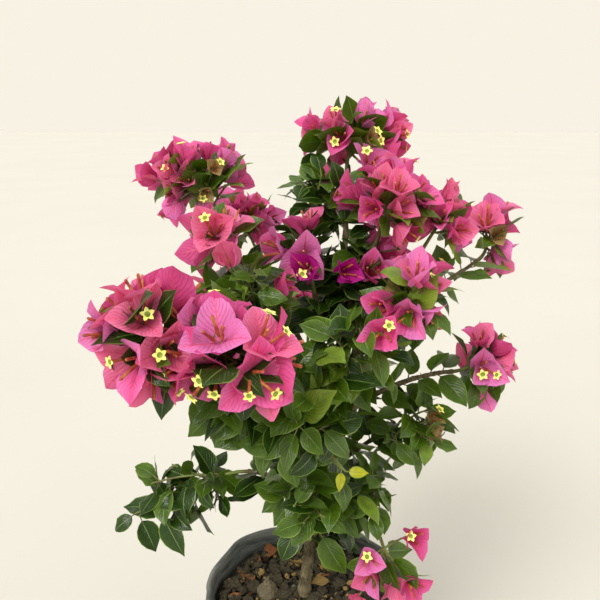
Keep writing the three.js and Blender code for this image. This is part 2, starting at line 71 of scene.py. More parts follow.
# Bough: the limb it springs from, how far along it, its tip, how far its middle arches up, its two radii
BOUGHS = {
    "front_left": ("trunk", 0.5, (-60, -112, 446), 8, 3.4, 2.1),
    "far_left": ("front_left", 0.52, (-90, -112, 462), -4, 2.4, 1.9),
    "left_front_leafy": ("front_left", 0.3, (-64, -62, 404), 0, 2.3, 1.8),
    "front_leafy": ("trunk", 0.42, (-6, -58, 392), -6, 2.5, 1.9),
    "upper_left": ("trunk", 0.68, (-78, 60, 532), -6, 3.3, 2.1),
    "left_bloom": ("upper_left", 0.42, (-58, -8, 512), -4, 2.3, 1.8),
    "left_leafy": ("trunk", 0.74, (-42, -34, 470), -2, 2.4, 1.8),
    "left_inner": ("trunk", 0.56, (-58, 30, 408), -4, 2.4, 1.8),
    "top": ("trunk", 1, (34, 42, 580), 0, 3.2, 2.1),
    "top_leafy": ("top", 0.3, (4, 34, 528), -4, 2.1, 1.7),
    "top_right": ("top", 0.2, (58, 8, 524), -5, 2.5, 2.0),
    "middle": ("trunk", 0.93, (6, -4, 482), -2, 2.2, 1.7),
    "upper_right": ("trunk", 0.86, (100, 20, 514), -4, 2.9, 1.9),
    "right_tip": ("upper_right", 0.6, (160, 50, 500), -5, 2.1, 1.7),
    "front_right": ("trunk", 0.78, (76, -34, 456), -4, 2.6, 1.9),
    "centre_leafy": ("trunk", 0.66, (32, -42, 424), -4, 2.3, 1.8),
    "right": ("trunk", 0.72, (134, 14, 402), 10, 2.8, 1.9),
    "right_leafy": ("trunk", 0.5, (70, 0, 346), 4, 2.4, 1.8),
    "low_right": ("trunk", 0.4, (64, -38, 266), 34, 2.6, 1.9),
    "low_left": ("trunk", 0.36, (-56, 0, 306), 12, 2.6, 1.9),
    "back_left_leafy": ("trunk", 0.5, (-48, 66, 410), -4, 2.5, 1.9),
    "back_left": ("trunk", 0.8, (-50, 118, 488), -6, 2.9, 1.9),
    "back_right": ("trunk", 0.9, (72, 106, 508), -6, 2.8, 1.9),
    "back_right_leafy": ("trunk", 0.62, (62, 56, 412), -2, 2.4, 1.8),
    "back_low": ("trunk", 0.46, (2, 126, 384), -2, 2.6, 1.9),
}

# Blossom: the limb it grows from, how far along it, its centre, half-sizes, blooms, and how spread they are
BLOSSOM = {
    "far_left": ("far_left", 1, (-101, -146, 496), (40, 36, 42), 9, 0.8),
    "front_left": ("front_left", 1, (-55, -146, 482), (50, 36, 40), 12, 1.0),
    "left": ("left_bloom", 1, (-70, -30, 534), (38, 30, 32), 4, 0.5),
    "upper_left": ("upper_left", 1, (-100, 66, 569), (60, 36, 42), 21, 0.2),
    "top": ("top", 1, (39, 50, 607), (56, 34, 38), 15, 0.1),
    "top_right": ("top_right", 1, (66, 6, 556), (44, 36, 42), 18, 0.2),
    "upper_right": ("upper_right", 1, (114, 18, 540), (32, 32, 42), 10, 0.1),
    "right_tip": ("right_tip", 1, (168, 56, 518), (32, 30, 40), 7, 0.3),
    "front_right": ("front_right", 1, (80, -48, 488), (42, 36, 42), 8, 0.3),
    "right": ("right", 1, (153, 14, 410), (38, 34, 46), 9, 0.45),
    "low_right": ("low_right", 1, (72, -38, 242), (44, 32, 44), 2, 0.3),
    "middle": ("middle", 1, (0, -4, 520), (40, 34, 38), 4, 0.4),
    "back_left": ("back_left", 1, (-68, 146, 520), (44, 38, 36), 15, 0.2),
    "back_right": ("back_right", 1, (84, 136, 540), (44, 38, 36), 15, 0.2),
    "back": ("back_low", 1, (4, 164, 414), (42, 34, 36), 11, 0.3),
}
# Foliage: the same, with its twigs, how dark its leaves are, and the odd blooms among them
FOLIAGE = {
    "top": ("top_leafy", 1, (20, 42, 562), (44, 42, 42), 18, 0.5, 2),
    "left": ("left_leafy", 1, (-50, -48, 496), (44, 40, 40), 15, 0.4, 2),
    "left_inner": ("left_inner", 1, (-82, 34, 444), (48, 44, 48), 14, 0.8, 1),
    "left_front": ("left_front_leafy", 1, (-64, -86, 426), (42, 40, 38), 13, 0.5, 0),
    "centre": ("centre_leafy", 1, (28, -72, 450), (42, 42, 48), 15, 0.4, 0),
    "front": ("front_leafy", 1, (-8, -92, 410), (50, 44, 50), 16, 0.35, 0),
    "low_left": ("low_left", 1, (-111, -2, 287), (64, 36, 46), 11, 0.9, 0),
    "low_front": ("trunk", 0.34, (0, -58, 326), (46, 46, 46), 15, 0.4, 0),
    "right": ("right_leafy", 1, (92, -8, 356), (44, 36, 46), 9, 0.6, 0),
    "low_right": ("trunk", 0.28, (46, -30, 300), (40, 40, 42), 12, 0.4, 0),
    "heart": ("trunk", 0.93, (42, 22, 486), (56, 46, 48), 24, 0.8, 3),
    "back_left": ("back_left_leafy", 1, (-68, 102, 440), (52, 48, 48), 21, 0.5, 2),
    "back_right": ("back_right_leafy", 1, (88, 86, 440), (52, 48, 48), 21, 0.5, 2),
    "back_low": ("trunk", 0.32, (4, 78, 326), (52, 48, 46), 18, 0.6, 0),
    "foot": ("trunk", 0.2, (22, 24, 224), (44, 40, 32), 9, 0.5, 0),
}

# Tones, by their place in the tables further down: most blooms' tones, the common ones more than once, and
# the tone and scale of the few young ones
USUAL_TONES = (0, 0, 0, 1, 1, 1, 2, 2, 2, 3, 4, 4)
YOUNG_BLOOM = (6, 0.7)
# Blooms listed one by one: their tone, their scale, where they grow and the way they face
SET_BLOOMS = (
    (5, 1.08, (0, -24, 506), (-0.2, -0.9, 0.4)),
    (5, 1.08, (26, -16, 504), (0.4, -0.8, 0.2)),
    (6, 0.7, (106, -12, 356), (0.9, -0.5, 0.1)),
    (6, 0.7, (108, -14, 366), (0.5, -0.6, 0.8)),
    (4, 1.14, (90, -42, 266), (0.3, -0.8, 0.45)),
    (0, 1.1, (54, -54, 252), (-0.1, -0.9, 0.4)),
    (4, 1.14, (90, -50, 224), (0.3, -0.9, 0.2)),
    (2, 1.1, (46, -58, 214), (-0.3, -0.85, -0.1)),
    (1, 1.14, (56, -76, 473), (-0.1, -0.95, 0.25)),
    (0, 1.2, (-122, -148, 500), (-0.75, -0.6, 0.2)),
    (0, 1.0, (52, 34, 586), (0.1, -0.8, 0.5)),
    (2, 0.95, (70, 22, 578), (0.5, -0.6, 0.6)),
    (1, 1.0, (88, 14, 560), (0.5, -0.7, 0.5)),
)
# Leaves listed one by one: their tone, their scale, where they grow and the way they point
SET_LEAVES = (
    (3, 0.42, (28, -98, 367), (0.95, -0.25, 0.05)),
    (3, 0.42, (25, -96, 368), (-0.1, -0.3, -0.9)),
    (2, 0.8, (-11, -4, 247), (-0.4, -0.35, -0.85)),
    (1, 1.1, (11, -8, 246), (0.5, -0.4, -0.75)),
    (0, 0.62, (13, -8, 226), (0.5, -0.35, -0.75)),
    (2, 0.88, (-158, -14, 268), (0.45, -0.3, -0.85)),
    (2, 1.1, (-138, -14, 272), (0.5, -0.3, -0.85)),
    (2, 0.66, (-161, -14, 270), (-0.8, -0.35, -0.5)),
)
# Curled dry leaves on the soil, a dry corm's middle, and a green stub on the trunk from foot to end
FALLEN_LEAVES = ((-38, 70, 159), (-10, 49, 158), (14, 24, 159), (-62, 28, 158))
CORM, CORM_RADIUS = (-40, 12, 157), 11
STUB = ((4, 12, 221), (2, 0, 231))
STUB_RADII = (3.4, 3.0, 2.4)

# Radii of each kind of green wood, at its foot and at its tip
FOLIAGE_STEM, BLOSSOM_STEM = (1.8, 1.3), (1.8, 1.2)
LEAFY_TWIG, STALK, SHORT_STALK, THIN_STALK = (1.3, 0.8), (1.2, 0.8), (1.1, 0.8), (1.0, 0.8)
LEAF_STALK = (0.65, 0.5)

NEAR_LEAVES = 240  # how many of the last leaves a new one keeps clear of
BOUGH_LEAVES = 10  # how many single leaves are tried along each bough

# Seeds of the draws, and the numbers of two draws that are made singly
FOLIAGE_SEED, BLOSSOM_SEED, ODD_SEED, BOUGH_SEED, BETWEEN_SEED = 1000, 2000, 3000, 4000, 5000
CRUMB_SEED, FLAKE_SEED = 71, 72
SPIN_DRAW, KNOT_DRAW = 900, 7

# ---- Outlines: share of the length, share of the half width ----

LEAF_OUTLINE = (
    (0, 0.08), (0.06, 0.46), (0.17, 0.82), (0.34, 1),
    (0.54, 0.93), (0.72, 0.66), (0.87, 0.28), (1, 0.01),
)
LEAF_COLUMNS = (-1, -0.93, -0.5, -0.035, 0.035, 0.5, 0.93, 1)
BRACT_OUTLINE = (
    (0, 0.24), (0.05, 0.62), (0.16, 0.92), (0.34, 1),
    (0.54, 0.95), (0.73, 0.72), (0.89, 0.32), (1, 0.01),
)
BRACT_COLUMNS = (-1, -0.6, -0.04, 0.04, 0.6, 1)
# Forms: the ranges from which each blade's bends are drawn
LEAF_FORM = (
    ("fold", 0.05, 0.38),
    ("bend", -0.6, 0.5),
    ("curl", 0, 1.2),
    ("cup", -0.7, 0.3),
    ("wave", 0.015, 0.06),
    ("phase", 0, TURN),
    ("twist", -0.7, 0.7),
)
BRACT_FORM = (
    ("fold", 0.05, 0.2),
    ("curl", 0.1, 0.9),
    ("cup", 0.45, 1.0),
    ("wave", 0.025, 0.085),
    ("phase", 0, TURN),
    ("twist", -0.5, 0.5),
)
CHIP_FORM = (
    ("fold", 0.1, 0.5),
    ("bend", -1.2, -0.2),
    ("curl", -0.4, 0.8),
    ("cup", -0.4, 0.8),
    ("wave", 0.05, 0.12),
    ("phase", 0, TURN),
    ("twist", -0.6, 0.6),
)
TUBE_RADII = ((0, 0.6), (0.12, 1.05), (0.3, 1.2), (0.55, 0.85), (0.82, 0.95), (0.94, 1.1), (1, 0.6))


# ---- Draws and curves ----


def draw(seed, index):
    """A fixed number from 0 to 1 for each pair of whole numbers."""
    mask = 0xFFFFFFFF
    h = ((seed + 1) * 0x9E3779B1 & mask) ^ ((index + 1) * 0x85EBCA6B & mask)
    h = (h ^ h >> 15) * 0x2C1B3C6D & mask
    h = (h ^ h >> 12) * 0x297A2D39 & mask
    return (h ^ h >> 15) / 4294967296


class Dice:
    """Numbers drawn one after another from one seed."""

    def __init__(self, seed):
        self.seed = seed
        self.drawn = 0

    def between(self, low, high):
        self.drawn += 1
        return low + (high - low) * draw(self.seed, self.drawn)

    def way(self):
        """A direction, roughly even over the sphere."""
        return Vector([self.between(-1, 1) for _ in range(3)]).normalized()

    def turn(self):
        return self.between(0, TURN)

    def form(self, ranges):
        """A blade's bends, each drawn from its range."""
        return {key: self.between(low, high) for key, low, high in ranges}


class Line:
    """A smooth line through a few places, read by share of the way along it."""

    def __init__(self, places):
        self.places = [Vector(p) for p in places]

    def point(self, share):
        low = min(int(share * (len(self.places) - 1)), len(self.places) - 2)
        rest = share * (len(self.places) - 1) - low
        return self.places[low].lerp(self.places[low + 1], rest)

    def way(self, share):
        """The direction of the line there."""
        step = 0.5 / len(self.places)
        return (self.point(min(share + step, 1)) - self.point(max(share - step, 0))).normalized()


def bent_line(start, bend, end, steps=16):
    """A line that leaves start towards bend and comes into end from it."""
    shares = [i / steps for i in range(steps + 1)]
    return Line([start.lerp(bend, s).lerp(bend.lerp(end, s), s) for s in shares])


def trunk_line(steps=12):
    """A smooth line through the trunk's places, each passed in the direction of its two neighbours."""
    knots = [Vector(p) * MM for p in TRUNK_PATH]
    padded = [2 * knots[0] - knots[1], *knots, 2 * knots[-1] - knots[-2]]
    places = []
    for before, a, b, after in zip(padded, padded[1:], padded[2:], padded[3:]):
        for i in range(steps):
            s = i / steps
            square = 2 * before - 5 * a + 4 * b - after
            cube = 3 * a - before - 3 * b + after
            places.append(a + (b - before + (square + cube * s) * s) * (0.5 * s))
    return Line([*places, knots[-1]])


def across(way):
    """Two directions square to a way and to each other."""
    side = way.cross(UP)
    side = side.normalized() if side.length > 1e-3 else Vector((1, 0, 0))
    return side, way.cross(side)


def turned(way, angle):
    """A direction square to a way, at an angle round it."""
    side, other = across(way)
    return side * math.cos(angle) + other * math.sin(angle)


# ---- Growth ----


def soil_radius(pot):
    """How far from the middle a place still lies over the soil, clear of the wall."""
    return pot.rim_radius - 0.012


class Space:
    """The room that one mass of leaves or blossom keeps to, with the stem that feeds it."""

    def __init__(self, row, limbs, seed, flowers):
        limb, share, centre, reach, self.count, self.shade, *odd = row
        self.odd_blooms = odd[0] if odd else 0
        self.lightness = 0.4
        self.centre = Vector(centre) * MM
        self.reach = Vector(reach) * MM
        self.seed = seed
        self.flowers = flowers
        start = limbs[limb].point(share)
        way = (self.centre - start).normalized() if share < 1 else limbs[limb].way(1)
        bend = start + way * (0.4 * (self.centre - start).length)
        self.stem = bent_line(start, bend, self.centre)
        self.axis = (self.centre - start).normalized()

    def spread(self, i, count, back):
        """Evenly spread directions, from the stem's own round to its back."""
        height = 1 - (1 + back) * (i + 0.5) / count
        flat = math.sqrt(max(0, 1 - height * height))
        return self.axis * height + turned(self.axis, GOLDEN * i + TURN * draw(self.seed, SPIN_DRAW)) * flat

    def place(self, way, inset, level=1.0):
        """A place that lies a way from the centre, a little inside the reach."""
        room = Vector([max(r - inset, 0.003) * w * level for r, w in zip(self.reach, way)])
        return self.centre + room

    def holds(self, point, ease=1.1):
        """True within a little more than the reach."""
        offset = point - self.centre
        return sum((o / (ease * r)) ** 2 for o, r in zip(offset, self.reach)) < 1


class Bush:
    """Every limb, twig, leaf and bloom, as places and directions."""

    def __init__(self, context):
        scene = context.scene
        self.pot = scene.bush_pot
        self.leaf = scene.bush_leaf
        self.bloom = scene.bush_bloom
        self.limbs = {"trunk": trunk_line()}
        for name, row in BOUGHS.items():
            self.limbs[name] = self.bough_line(*row[:4])
        self.spaces = []
        for rows, flowers in ((BLOSSOM, True), (FOLIAGE, False)):
            for row in rows.values():
                self.spaces.append(Space(row, self.limbs, len(self.spaces) + 1, flowers))
        self.twigs, self.leaves, self.bracts, self.tubes, self.stars = [], [], [], [], []
        for space in self.spaces:
            (self.grow_blossom if space.flowers else self.grow_foliage)(space)
        for number, name in enumerate(BOUGHS):
            self.leaf_bough(self.limbs[name], BOUGH_SEED + number)
        self.add_odd_ones()

    def bough_line(self, parent, share, tip, arch):
        """A bough from a limb to its own tip, arched, or running on where it starts at the limb's end."""
        start = self.limbs[parent].point(share)
        end = Vector(tip) * MM
        if share == 1:
            bend = start + self.limbs[parent].way(1) * (0.4 * (end - start).length)
        else:
            bend = start.lerp(end, 0.55) + UP * (2 * arch * MM)
        return bent_line(start, bend, end)

    def over_pot(self, point):
        """True clear above the rim, or above the soil inside it."""
        inside = math.hypot(point.x, point.y) < soil_radius(self.pot)
        floor = self.pot.height - self.pot.soil_depth + 0.006 if inside else self.pot.height + 0.004
        return point.z > floor

    def keeps_in(self, space, points, ease=1.1):
        """True if the points lie within a little more than the space's reach and clear of the pot."""
        return all(space.holds(point, ease) and self.over_pot(point) for point in points)

    def among_blooms(self, point):
        """True well inside the room of any blossom."""
        return any(space.flowers and space.holds(point, 0.8) for space in self.spaces)

    def hides_foot(self, *points):
        """Whether a leaf would hang before the trunk's bare foot, seen from the front and a little above."""
        return any(p.z + 0.75 * p.y < 0.24 and p.y < 0.01 and -0.016 < p.x < 0.022 for p in points)

    def has_room(self, middle, gap):
        """True if none of the last leaves is too near."""
        return all((leaf["middle"] - middle).length > gap for leaf in self.leaves[-NEAR_LEAVES:])

    def add_twig(self, line, radii, steps=5):
        thick, thin = radii
        shares = [i / steps for i in range(steps + 1)]
        self.twigs.append([(line.point(s), (thick + (thin - thick) * s) * MM) for s in shares])

    def add_leaf(self, space, dice, root, along, face, size, tone=None, ease=1.1):
        """A leaf on its stalk, if there is room for it."""
        stalk = root + (along + face * 0.3).normalized() * (self.leaf.stalk * size)
        for shrink in (1, 0.86, 0.74, 0.62):
            length = self.leaf.length * size * shrink
            tip, middle = stalk + along * length, stalk + along * (0.45 * length)
            if self.keeps_in(space, [tip, middle], ease) and self.has_room(middle, self.leaf.gap * size):
                break
        else:
            return
        if not space.flowers and self.among_blooms(middle):
            return
        if tone is None and self.hides_foot(tip, middle):
            return
        if tone is None:
            # Painted shade: leaves near the trunk's axis, deep in the bush, take darker tones (inner), added
            # to the space's darkness and the twig's lightness
            inner = max(1 - math.hypot(middle.x, middle.y) / 0.075, 0)
            tone = min(int(space.lightness + dice.between(0, 1.1) + space.shade * 1.3 + inner), 2)
        self.leaves.append(
            {
                "root": stalk,
                "along": along,
                "face": face + dice.way() * 0.42,
                "length": length,
                "width": self.leaf.width / self.leaf.length * length * dice.between(0.86, 1.16),
                **dice.form(LEAF_FORM),
                "middle": middle,
                "tone": tone,
            }
        )
        thick, thin = LEAF_STALK
        self.twigs.append([(root, thick * MM), (stalk + along * MM, thin * MM)])

    def grow_foliage(self, space):
        """Twigs to every side of the space, each with leaves in turn round it."""
        dice = Dice(FOLIAGE_SEED + space.seed)
        self.add_twig(space.stem, FOLIAGE_STEM)
        for i in range(space.count):
            turn = 7 if space.count % 5 == 0 else 5
            way = space.spread(turn * i % space.count, space.count, 0.85)
            place = space.place(way, self.leaf.inset, dice.between(0.62, 1.0))
            root = space.stem.point(dice.between(0.3, 0.98))
            bend = root.lerp(place, 0.5) + UP * dice.between(0, 0.008) + dice.way() * 0.003
            line = bent_line(root, bend, place, 8)
            if i < space.odd_blooms:
                self.add_twig(line, STALK)
                self.add_bloom(dice, place, (way + UP * 0.3).normalized(), 0.3)
            else:
                self.leafy_twig(space, dice, line, self.leaf.per_twig)

    def leafy_twig(self, space, dice, line, leaves):
        """A twig with some leaves along it and the rest in a star round its end."""
        self.add_twig(line, LEAFY_TWIG)
        space.lightness = dice.between(0, 0.9)
        spin = dice.turn()
        along_it = leaves // 2
        for k in range(leaves):
            if k < along_it:
                share = 0.3 + 0.5 * k / along_it
            else:
                share = 0.88 + 0.12 * (k - along_it) / (leaves - along_it)
            way = line.way(share)
            outward = turned(way, spin + GOLDEN * k)
            along = way * dice.between(0, 0.8) + outward + dice.way() * 0.35 - UP * dice.between(-0.15, 0.5)
            face = way * 0.55 + UP * 0.6
            self.add_leaf(space, dice, line.point(share), along.normalized(), face, dice.between(0.66, 1.15))

    def grow_blossom(self, space):
        """Blooms on stalks to every side of the space, in layers, with small leaves between them."""
        dice = Dice(BLOSSOM_SEED + space.seed)
        self.add_twig(space.stem, BLOSSOM_STEM)
        tries = 5 * space.count
        gap = self.bloom.gap * (0.8 + 0.38 * space.shade)
        centres = []
        for i in range(tries):
            if len(centres) == space.count:
                break
            way = space.spread((3 * i) % tries, tries, 0.7)
            place = space.place(way, self.bloom.inset, (1.0, 0.85, 0.5)[i % 3])
            axis = (way + UP * 0.3 + dice.way() * 0.35).normalized()
            middle = place + axis * (0.5 * self.bloom.length)
            if any((middle - other).length < gap for other in centres):
                continue
            if not self.keeps_in(space, [place + axis * (0.8 * self.bloom.length)]):
                continue
            centres.append(middle)
            root = space.stem.point(dice.between(0.45, 0.98))
            line = bent_line(root, root.lerp(place, 0.5) - axis * 0.004, place, 6)
            self.add_twig(line, SHORT_STALK, 4)
            young = len(centres) % 8 == 5 and space.shade < 0.35
            self.add_bloom(dice, place, axis, space.shade, *(YOUNG_BLOOM if young else ()))
            fewer = 1 if space.shade < 0.25 else 0
            for share in (0.2, 0.35, 0.5, 0.65, 0.78)[: self.leaf.per_bloom - fewer]:
                way = line.way(share)
                along = (way + turned(way, dice.turn()) * 1.2).normalized()
                self.add_leaf(space, dice, line.point(share), along, way + UP * 0.7, dice.between(0.65, 1.08))
        if space.shade > 0.6:
            self.leaves_between(space, Dice(BETWEEN_SEED + space.seed), centres)

    def leaves_between(self, space, dice, middles):
        """Leaves that stand out between the wide blooms."""
        for middle in middles[::2]:
            way = (middle - space.centre).normalized()
            root = middle - way * (0.6 * self.bloom.length) + turned(way, dice.turn()) * 0.011
            along = (way + turned(way, dice.turn()) * 0.5).normalized()
            self.add_twig(bent_line(space.centre, space.centre.lerp(root, 0.5), root, 4), THIN_STALK, 3)
            face = UP + dice.way() * 0.6
            self.add_leaf(space, dice, root, along, face, dice.between(0.95, 1.15), ease=1.35)

    def leaf_bough(self, line, seed):
        """Single leaves on the outer part of a bough, each where a space can hold it."""
        dice = Dice(seed)
        for k in range(BOUGH_LEAVES):
            share = 0.36 + 0.06 * k
            root, way = line.point(share), line.way(share)
            along = way * 0.5 + turned(way, GOLDEN * k + dice.between(0, 1)) - UP * dice.between(-0.3, 0.4)
            nearest = min(self.spaces, key=lambda space: (space.centre - root).length)
            face = UP + dice.way() * 0.3
            self.add_leaf(nearest, dice, root, along.normalized(), face, dice.between(0.7, 1.0), ease=2.2)

    def add_odd_ones(self):
        """The few blooms and leaves of an odd colour or place, each on a stalk of its own."""
        dice = Dice(ODD_SEED)
        for tone, scale, place, way in SET_BLOOMS:
            axis = Vector(way).normalized()
            self.stalk_to(Vector(place) * MM, axis)
            self.add_bloom(dice, Vector(place) * MM, axis, 0.2, tone, scale)
        for tone, size, place, way in SET_LEAVES:
            root = Vector(place) * MM
            space = self.stalk_to(root, UP * 0.5)
            face = Vector((0, -0.8, 0.6))
            self.add_leaf(space, dice, root, Vector(way).normalized(), face, size, tone, ease=3)
        foot, end = (Vector(place) * MM for place in STUB)
        places = (foot, foot.lerp(end, 0.9), end)
        self.twigs.append([(place, radius * MM) for place, radius in zip(places, STUB_RADII)])

    def stalk_to(self, place, axis):
        """A stalk from the nearest space's stem to a place; gives the space."""
        space = min(self.spaces, key=lambda space: (space.centre - place).length)
        root = space.stem.point(0.7)
        self.add_twig(bent_line(root, root.lerp(place, 0.55) - axis * 0.005, place, 6), STALK, 4)
        return space

    def deal_tone(self, dice):
        """One of the blossom's usual tones, the lilac and pinks more often than coral and deep."""
        return USUAL_TONES[int(dice.between(0, len(USUAL_TONES)))]

    def add_bloom(self, dice, place, axis, spread, tone=None, scale=1.0):
        """Three cupped bracts round a stalk's end, each with one flower tube before its midrib."""
        size = dice.between(0.8, 1.1) * (0.86 + 0.36 * spread) * scale
        odd = tone is not None
        opening = dice.between(0.45, 0.75) + 0.45 * spread
        spin = dice.turn()
        tone = self.deal_tone(dice) if tone is None else tone
        waist = dice.between(1.0, 1.9) * (1 - 0.45 * spread)
        for k in range(3):
            outward = turned(axis, spin + k * THIRD + dice.between(-0.14, 0.14))
            angle = opening + dice.between(-0.12, 0.12)
            along = axis * math.cos(angle) + outward * math.sin(angle)
            bract = {
                "root": place + outward * 0.0008,
                "along": along,
                "face": axis * math.sin(angle) - outward * math.cos(angle),
                "length": self.bloom.length * size * dice.between(0.92, 1.08),
                "width": self.bloom.width * size * dice.between(0.9, 1.08),
                "bend": -waist,
                **dice.form(BRACT_FORM),
                "tone": tone if odd or dice.between(0, 1) < 0.8 else self.deal_tone(dice),
            }
            bract["curl"] += waist
            bract["cup"] *= 1 - 0.35 * spread
            self.bracts.append(bract)
            inner = 0.3 * opening + dice.between(-0.05, 0.1)
            up = (axis * math.cos(inner) + outward * math.sin(inner)).normalized()
            start = place + outward * 0.0022 + axis * 0.003
            length = self.bloom.tube * size * dice.between(0.8, 1.08)
            self.tubes.append([(start + up * (length * s), r * MM * size) for s, r in TUBE_RADII])
            if dice.between(0, 1) < self.bloom.opened * (0.4 + spread):
                self.stars.append((start + up * (length + 0.0014), up, dice.between(0.9, 1.15), dice.turn()))


# ---- Mesh making ----


def deselect_all():
    for obj in bpy.context.selected_objects:
        obj.select_set(False)


def make_active(obj):
    deselect_all()
    obj.select_set(True)
    bpy.context.view_layer.objects.active = obj


def new_object(name, data, materials):
    """An object of some data in its materials, linked and active."""
    obj = bpy.data.objects.new(name, data)
    bpy.context.scene.collection.objects.link(obj)
    for material in materials:
        obj.data.materials.append(material)
    make_active(obj)
    return obj


def finish_piece(obj, slot, *replaced):
    """The piece stands on the frame and takes the place of the named solids."""
    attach(obj, "root")
    if replaced:
        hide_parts(*replaced)
    return {"FINISHED"}


def rods_object(name, rods, sides, materials):
    """One mesh of many closed rods, each given as (place, radius) from end to end."""
    curve = bpy.data.curves.new(name, "CURVE")
    curve.dimensions = "3D"
    curve.bevel_depth = 1.0
    curve.bevel_resolution = (sides - 4) // 2
    curve.use_fill_caps = True
    for rod in rods:
        spline = curve.splines.new("POLY")
        spline.points.add(len(rod) - 1)
        for point, (place, radius) in zip(spline.points, rod):
            point.co = (*place, 1)
            point.radius = radius
    new_object(name, curve, materials)
    bpy.ops.object.convert(target="MESH")
    bpy.ops.object.shade_smooth()
    return bpy.context.object


def blade_places(blades, t, half, v):
    """Where every blade's corners lie, for shares t of the length, the half widths there and shares v across.

    A blade is folded along its midrib and bent along its length. Its two bends turn it away from its face, in
    step with the way along it and with its square.
    """

    def each(key):
        """One number of every blade, as a column."""
        return np.array([blade[key] for blade in blades], float)[:, None]

    middles = 0.5 * (t[1:] + t[:-1])
    steps = np.diff(t) * each("length")
    lean = each("bend") * middles + each("curl") * middles**2
    start = np.zeros((len(blades), 1))
    forward = np.concatenate([start, np.cumsum(steps * np.cos(lean), 1)], 1)
    back = np.concatenate([start, np.cumsum(steps * np.sin(lean), 1)], 1)
    lean = each("bend") * t + each("curl") * t**2
    keys = ("width", "fold", "cup", "wave", "phase")
    width, fold, cup, wave, phase = (each(key)[..., None] for key in keys)
    along, wide, off = t[None, :, None], half[None, :, None], v[None, None, :]
    side = 0.5 * width * wide * off
    ripple = np.sin(phase + 11 * along + 2 * np.sign(off)) + 0.6 * np.sin(2.3 * phase + 17 * along + 4 * off)
    lift = fold * np.abs(side) + cup * side**2 / width + wave * width * ripple * wide * np.abs(off) ** 1.5
    ways = np.array([blade["along"] for blade in blades])
    sides = np.array([blade["along"].cross(blade["face"]).normalized() for blade in blades])
    faces = np.cross(sides, ways)
    normals = faces[:, None] * np.cos(lean)[..., None] + ways[:, None] * np.sin(lean)[..., None]
    turn = (each("twist") * t)[..., None]
    across = sides[:, None] * np.cos(turn) + normals * np.sin(turn)
    normals = normals * np.cos(turn) - sides[:, None] * np.sin(turn)
    spine = np.array([blade["root"] for blade in blades])[:, None] + ways[:, None] * forward[..., None]
    spine = spine - faces[:, None] * back[..., None]
    return spine[:, :, None] + across[:, :, None] * side[..., None] + normals[:, :, None] * lift[..., None]


def sheets_object(name, blades, outline, columns, strips, materials):
    """One mesh of many thin blades of one outline, each in the material of its tone.

    The strips are the lengthwise bands, such as the midrib, that have a material of their own.
    """
    t, half = (np.array(c, float) for c in zip(*outline))
    v = np.array(columns, float)
    places = blade_places(blades, t, half, v)
    rows, cols = len(outline), len(columns)
    corner = np.arange(rows * cols).reshape(rows, cols)
    quads = np.stack([corner[:-1, :-1], corner[1:, :-1], corner[1:, 1:], corner[:-1, 1:]], -1).reshape(-1, 4)
    all_quads = (quads[None] + (np.arange(len(blades)) * rows * cols)[:, None, None]).reshape(-1, 4)
    mesh = bpy.data.meshes.new(name)
    mesh.from_pydata(places.reshape(-1, 3), [], all_quads)
    band = np.array([strips.get(column, -1) for column in range(cols - 1)] * (rows - 1))
    picks = np.concatenate([np.where(band < 0, blade["tone"], band) for blade in blades])
    mesh.polygons.foreach_set("material_index", picks.astype(np.int32))
    mesh.polygons.foreach_set("use_smooth", np.ones(len(picks), bool))
    uv = mesh.uv_layers.new(name="Blade")
    grid = np.stack(np.broadcast_arrays(t[:, None], v[None, :] * 0.5 + 0.5), -1).reshape(-1, 2)
    uv.data.foreach_set("uv", np.tile(grid, (len(blades), 1))[all_quads.reshape(-1)].reshape(-1))
    mesh.update()
    return new_object(name, mesh, materials)


def copies_object(name, template, frames, materials, slots=None):
    """One mesh of many copies of a template mesh, each placed by a matrix."""
    places = np.array([v.co for v in template.vertices])
    polygons = [list(p.vertices) for p in template.polygons]
    picks = [p.material_index for p in template.polygons]
    smooth = template.polygons[0].use_smooth
    moved = [places @ np.array(frame.to_3x3()).T + np.array(frame.translation) for frame in frames]
    faces = [[i + k * len(places) for i in poly] for k in range(len(frames)) for poly in polygons]
    mesh = bpy.data.meshes.new(name)
    mesh.from_pydata(np.concatenate(moved), [], faces)
    slots = slots or [0] * len(frames)
    mesh.polygons.foreach_set("material_index", [pick + slot for slot in slots for pick in picks])
    mesh.polygons.foreach_set("use_smooth", [smooth] * len(faces))
    mesh.update()
    bpy.data.meshes.remove(template)
    return new_object(name, mesh, materials)


def frame_on(place, way, spin=0.0, size=1.0):
    """A matrix whose Z runs along a way."""
    side = turned(way, spin)
    columns = Matrix((side, way.cross(side), way)).transposed() * size
    return Matrix.Translation(place) @ columns.to_4x4()


def roughened(obj, height, scale, stretch=(1, 1, 1)):
    """Moves each vertex in or out along its normal by a noise."""
    mesh = obj.data
    moved = []
    for vertex in mesh.vertices:
        spot = Vector([c * scale * s for c, s in zip(vertex.co, stretch)])
        moved.append(vertex.co + vertex.normal * (height * noise.fractal(spot, 0.8, 2.2, 4)))
    mesh.vertices.foreach_set("co", [c for co in moved for c in co])
    mesh.update()


# ---- Materials ----


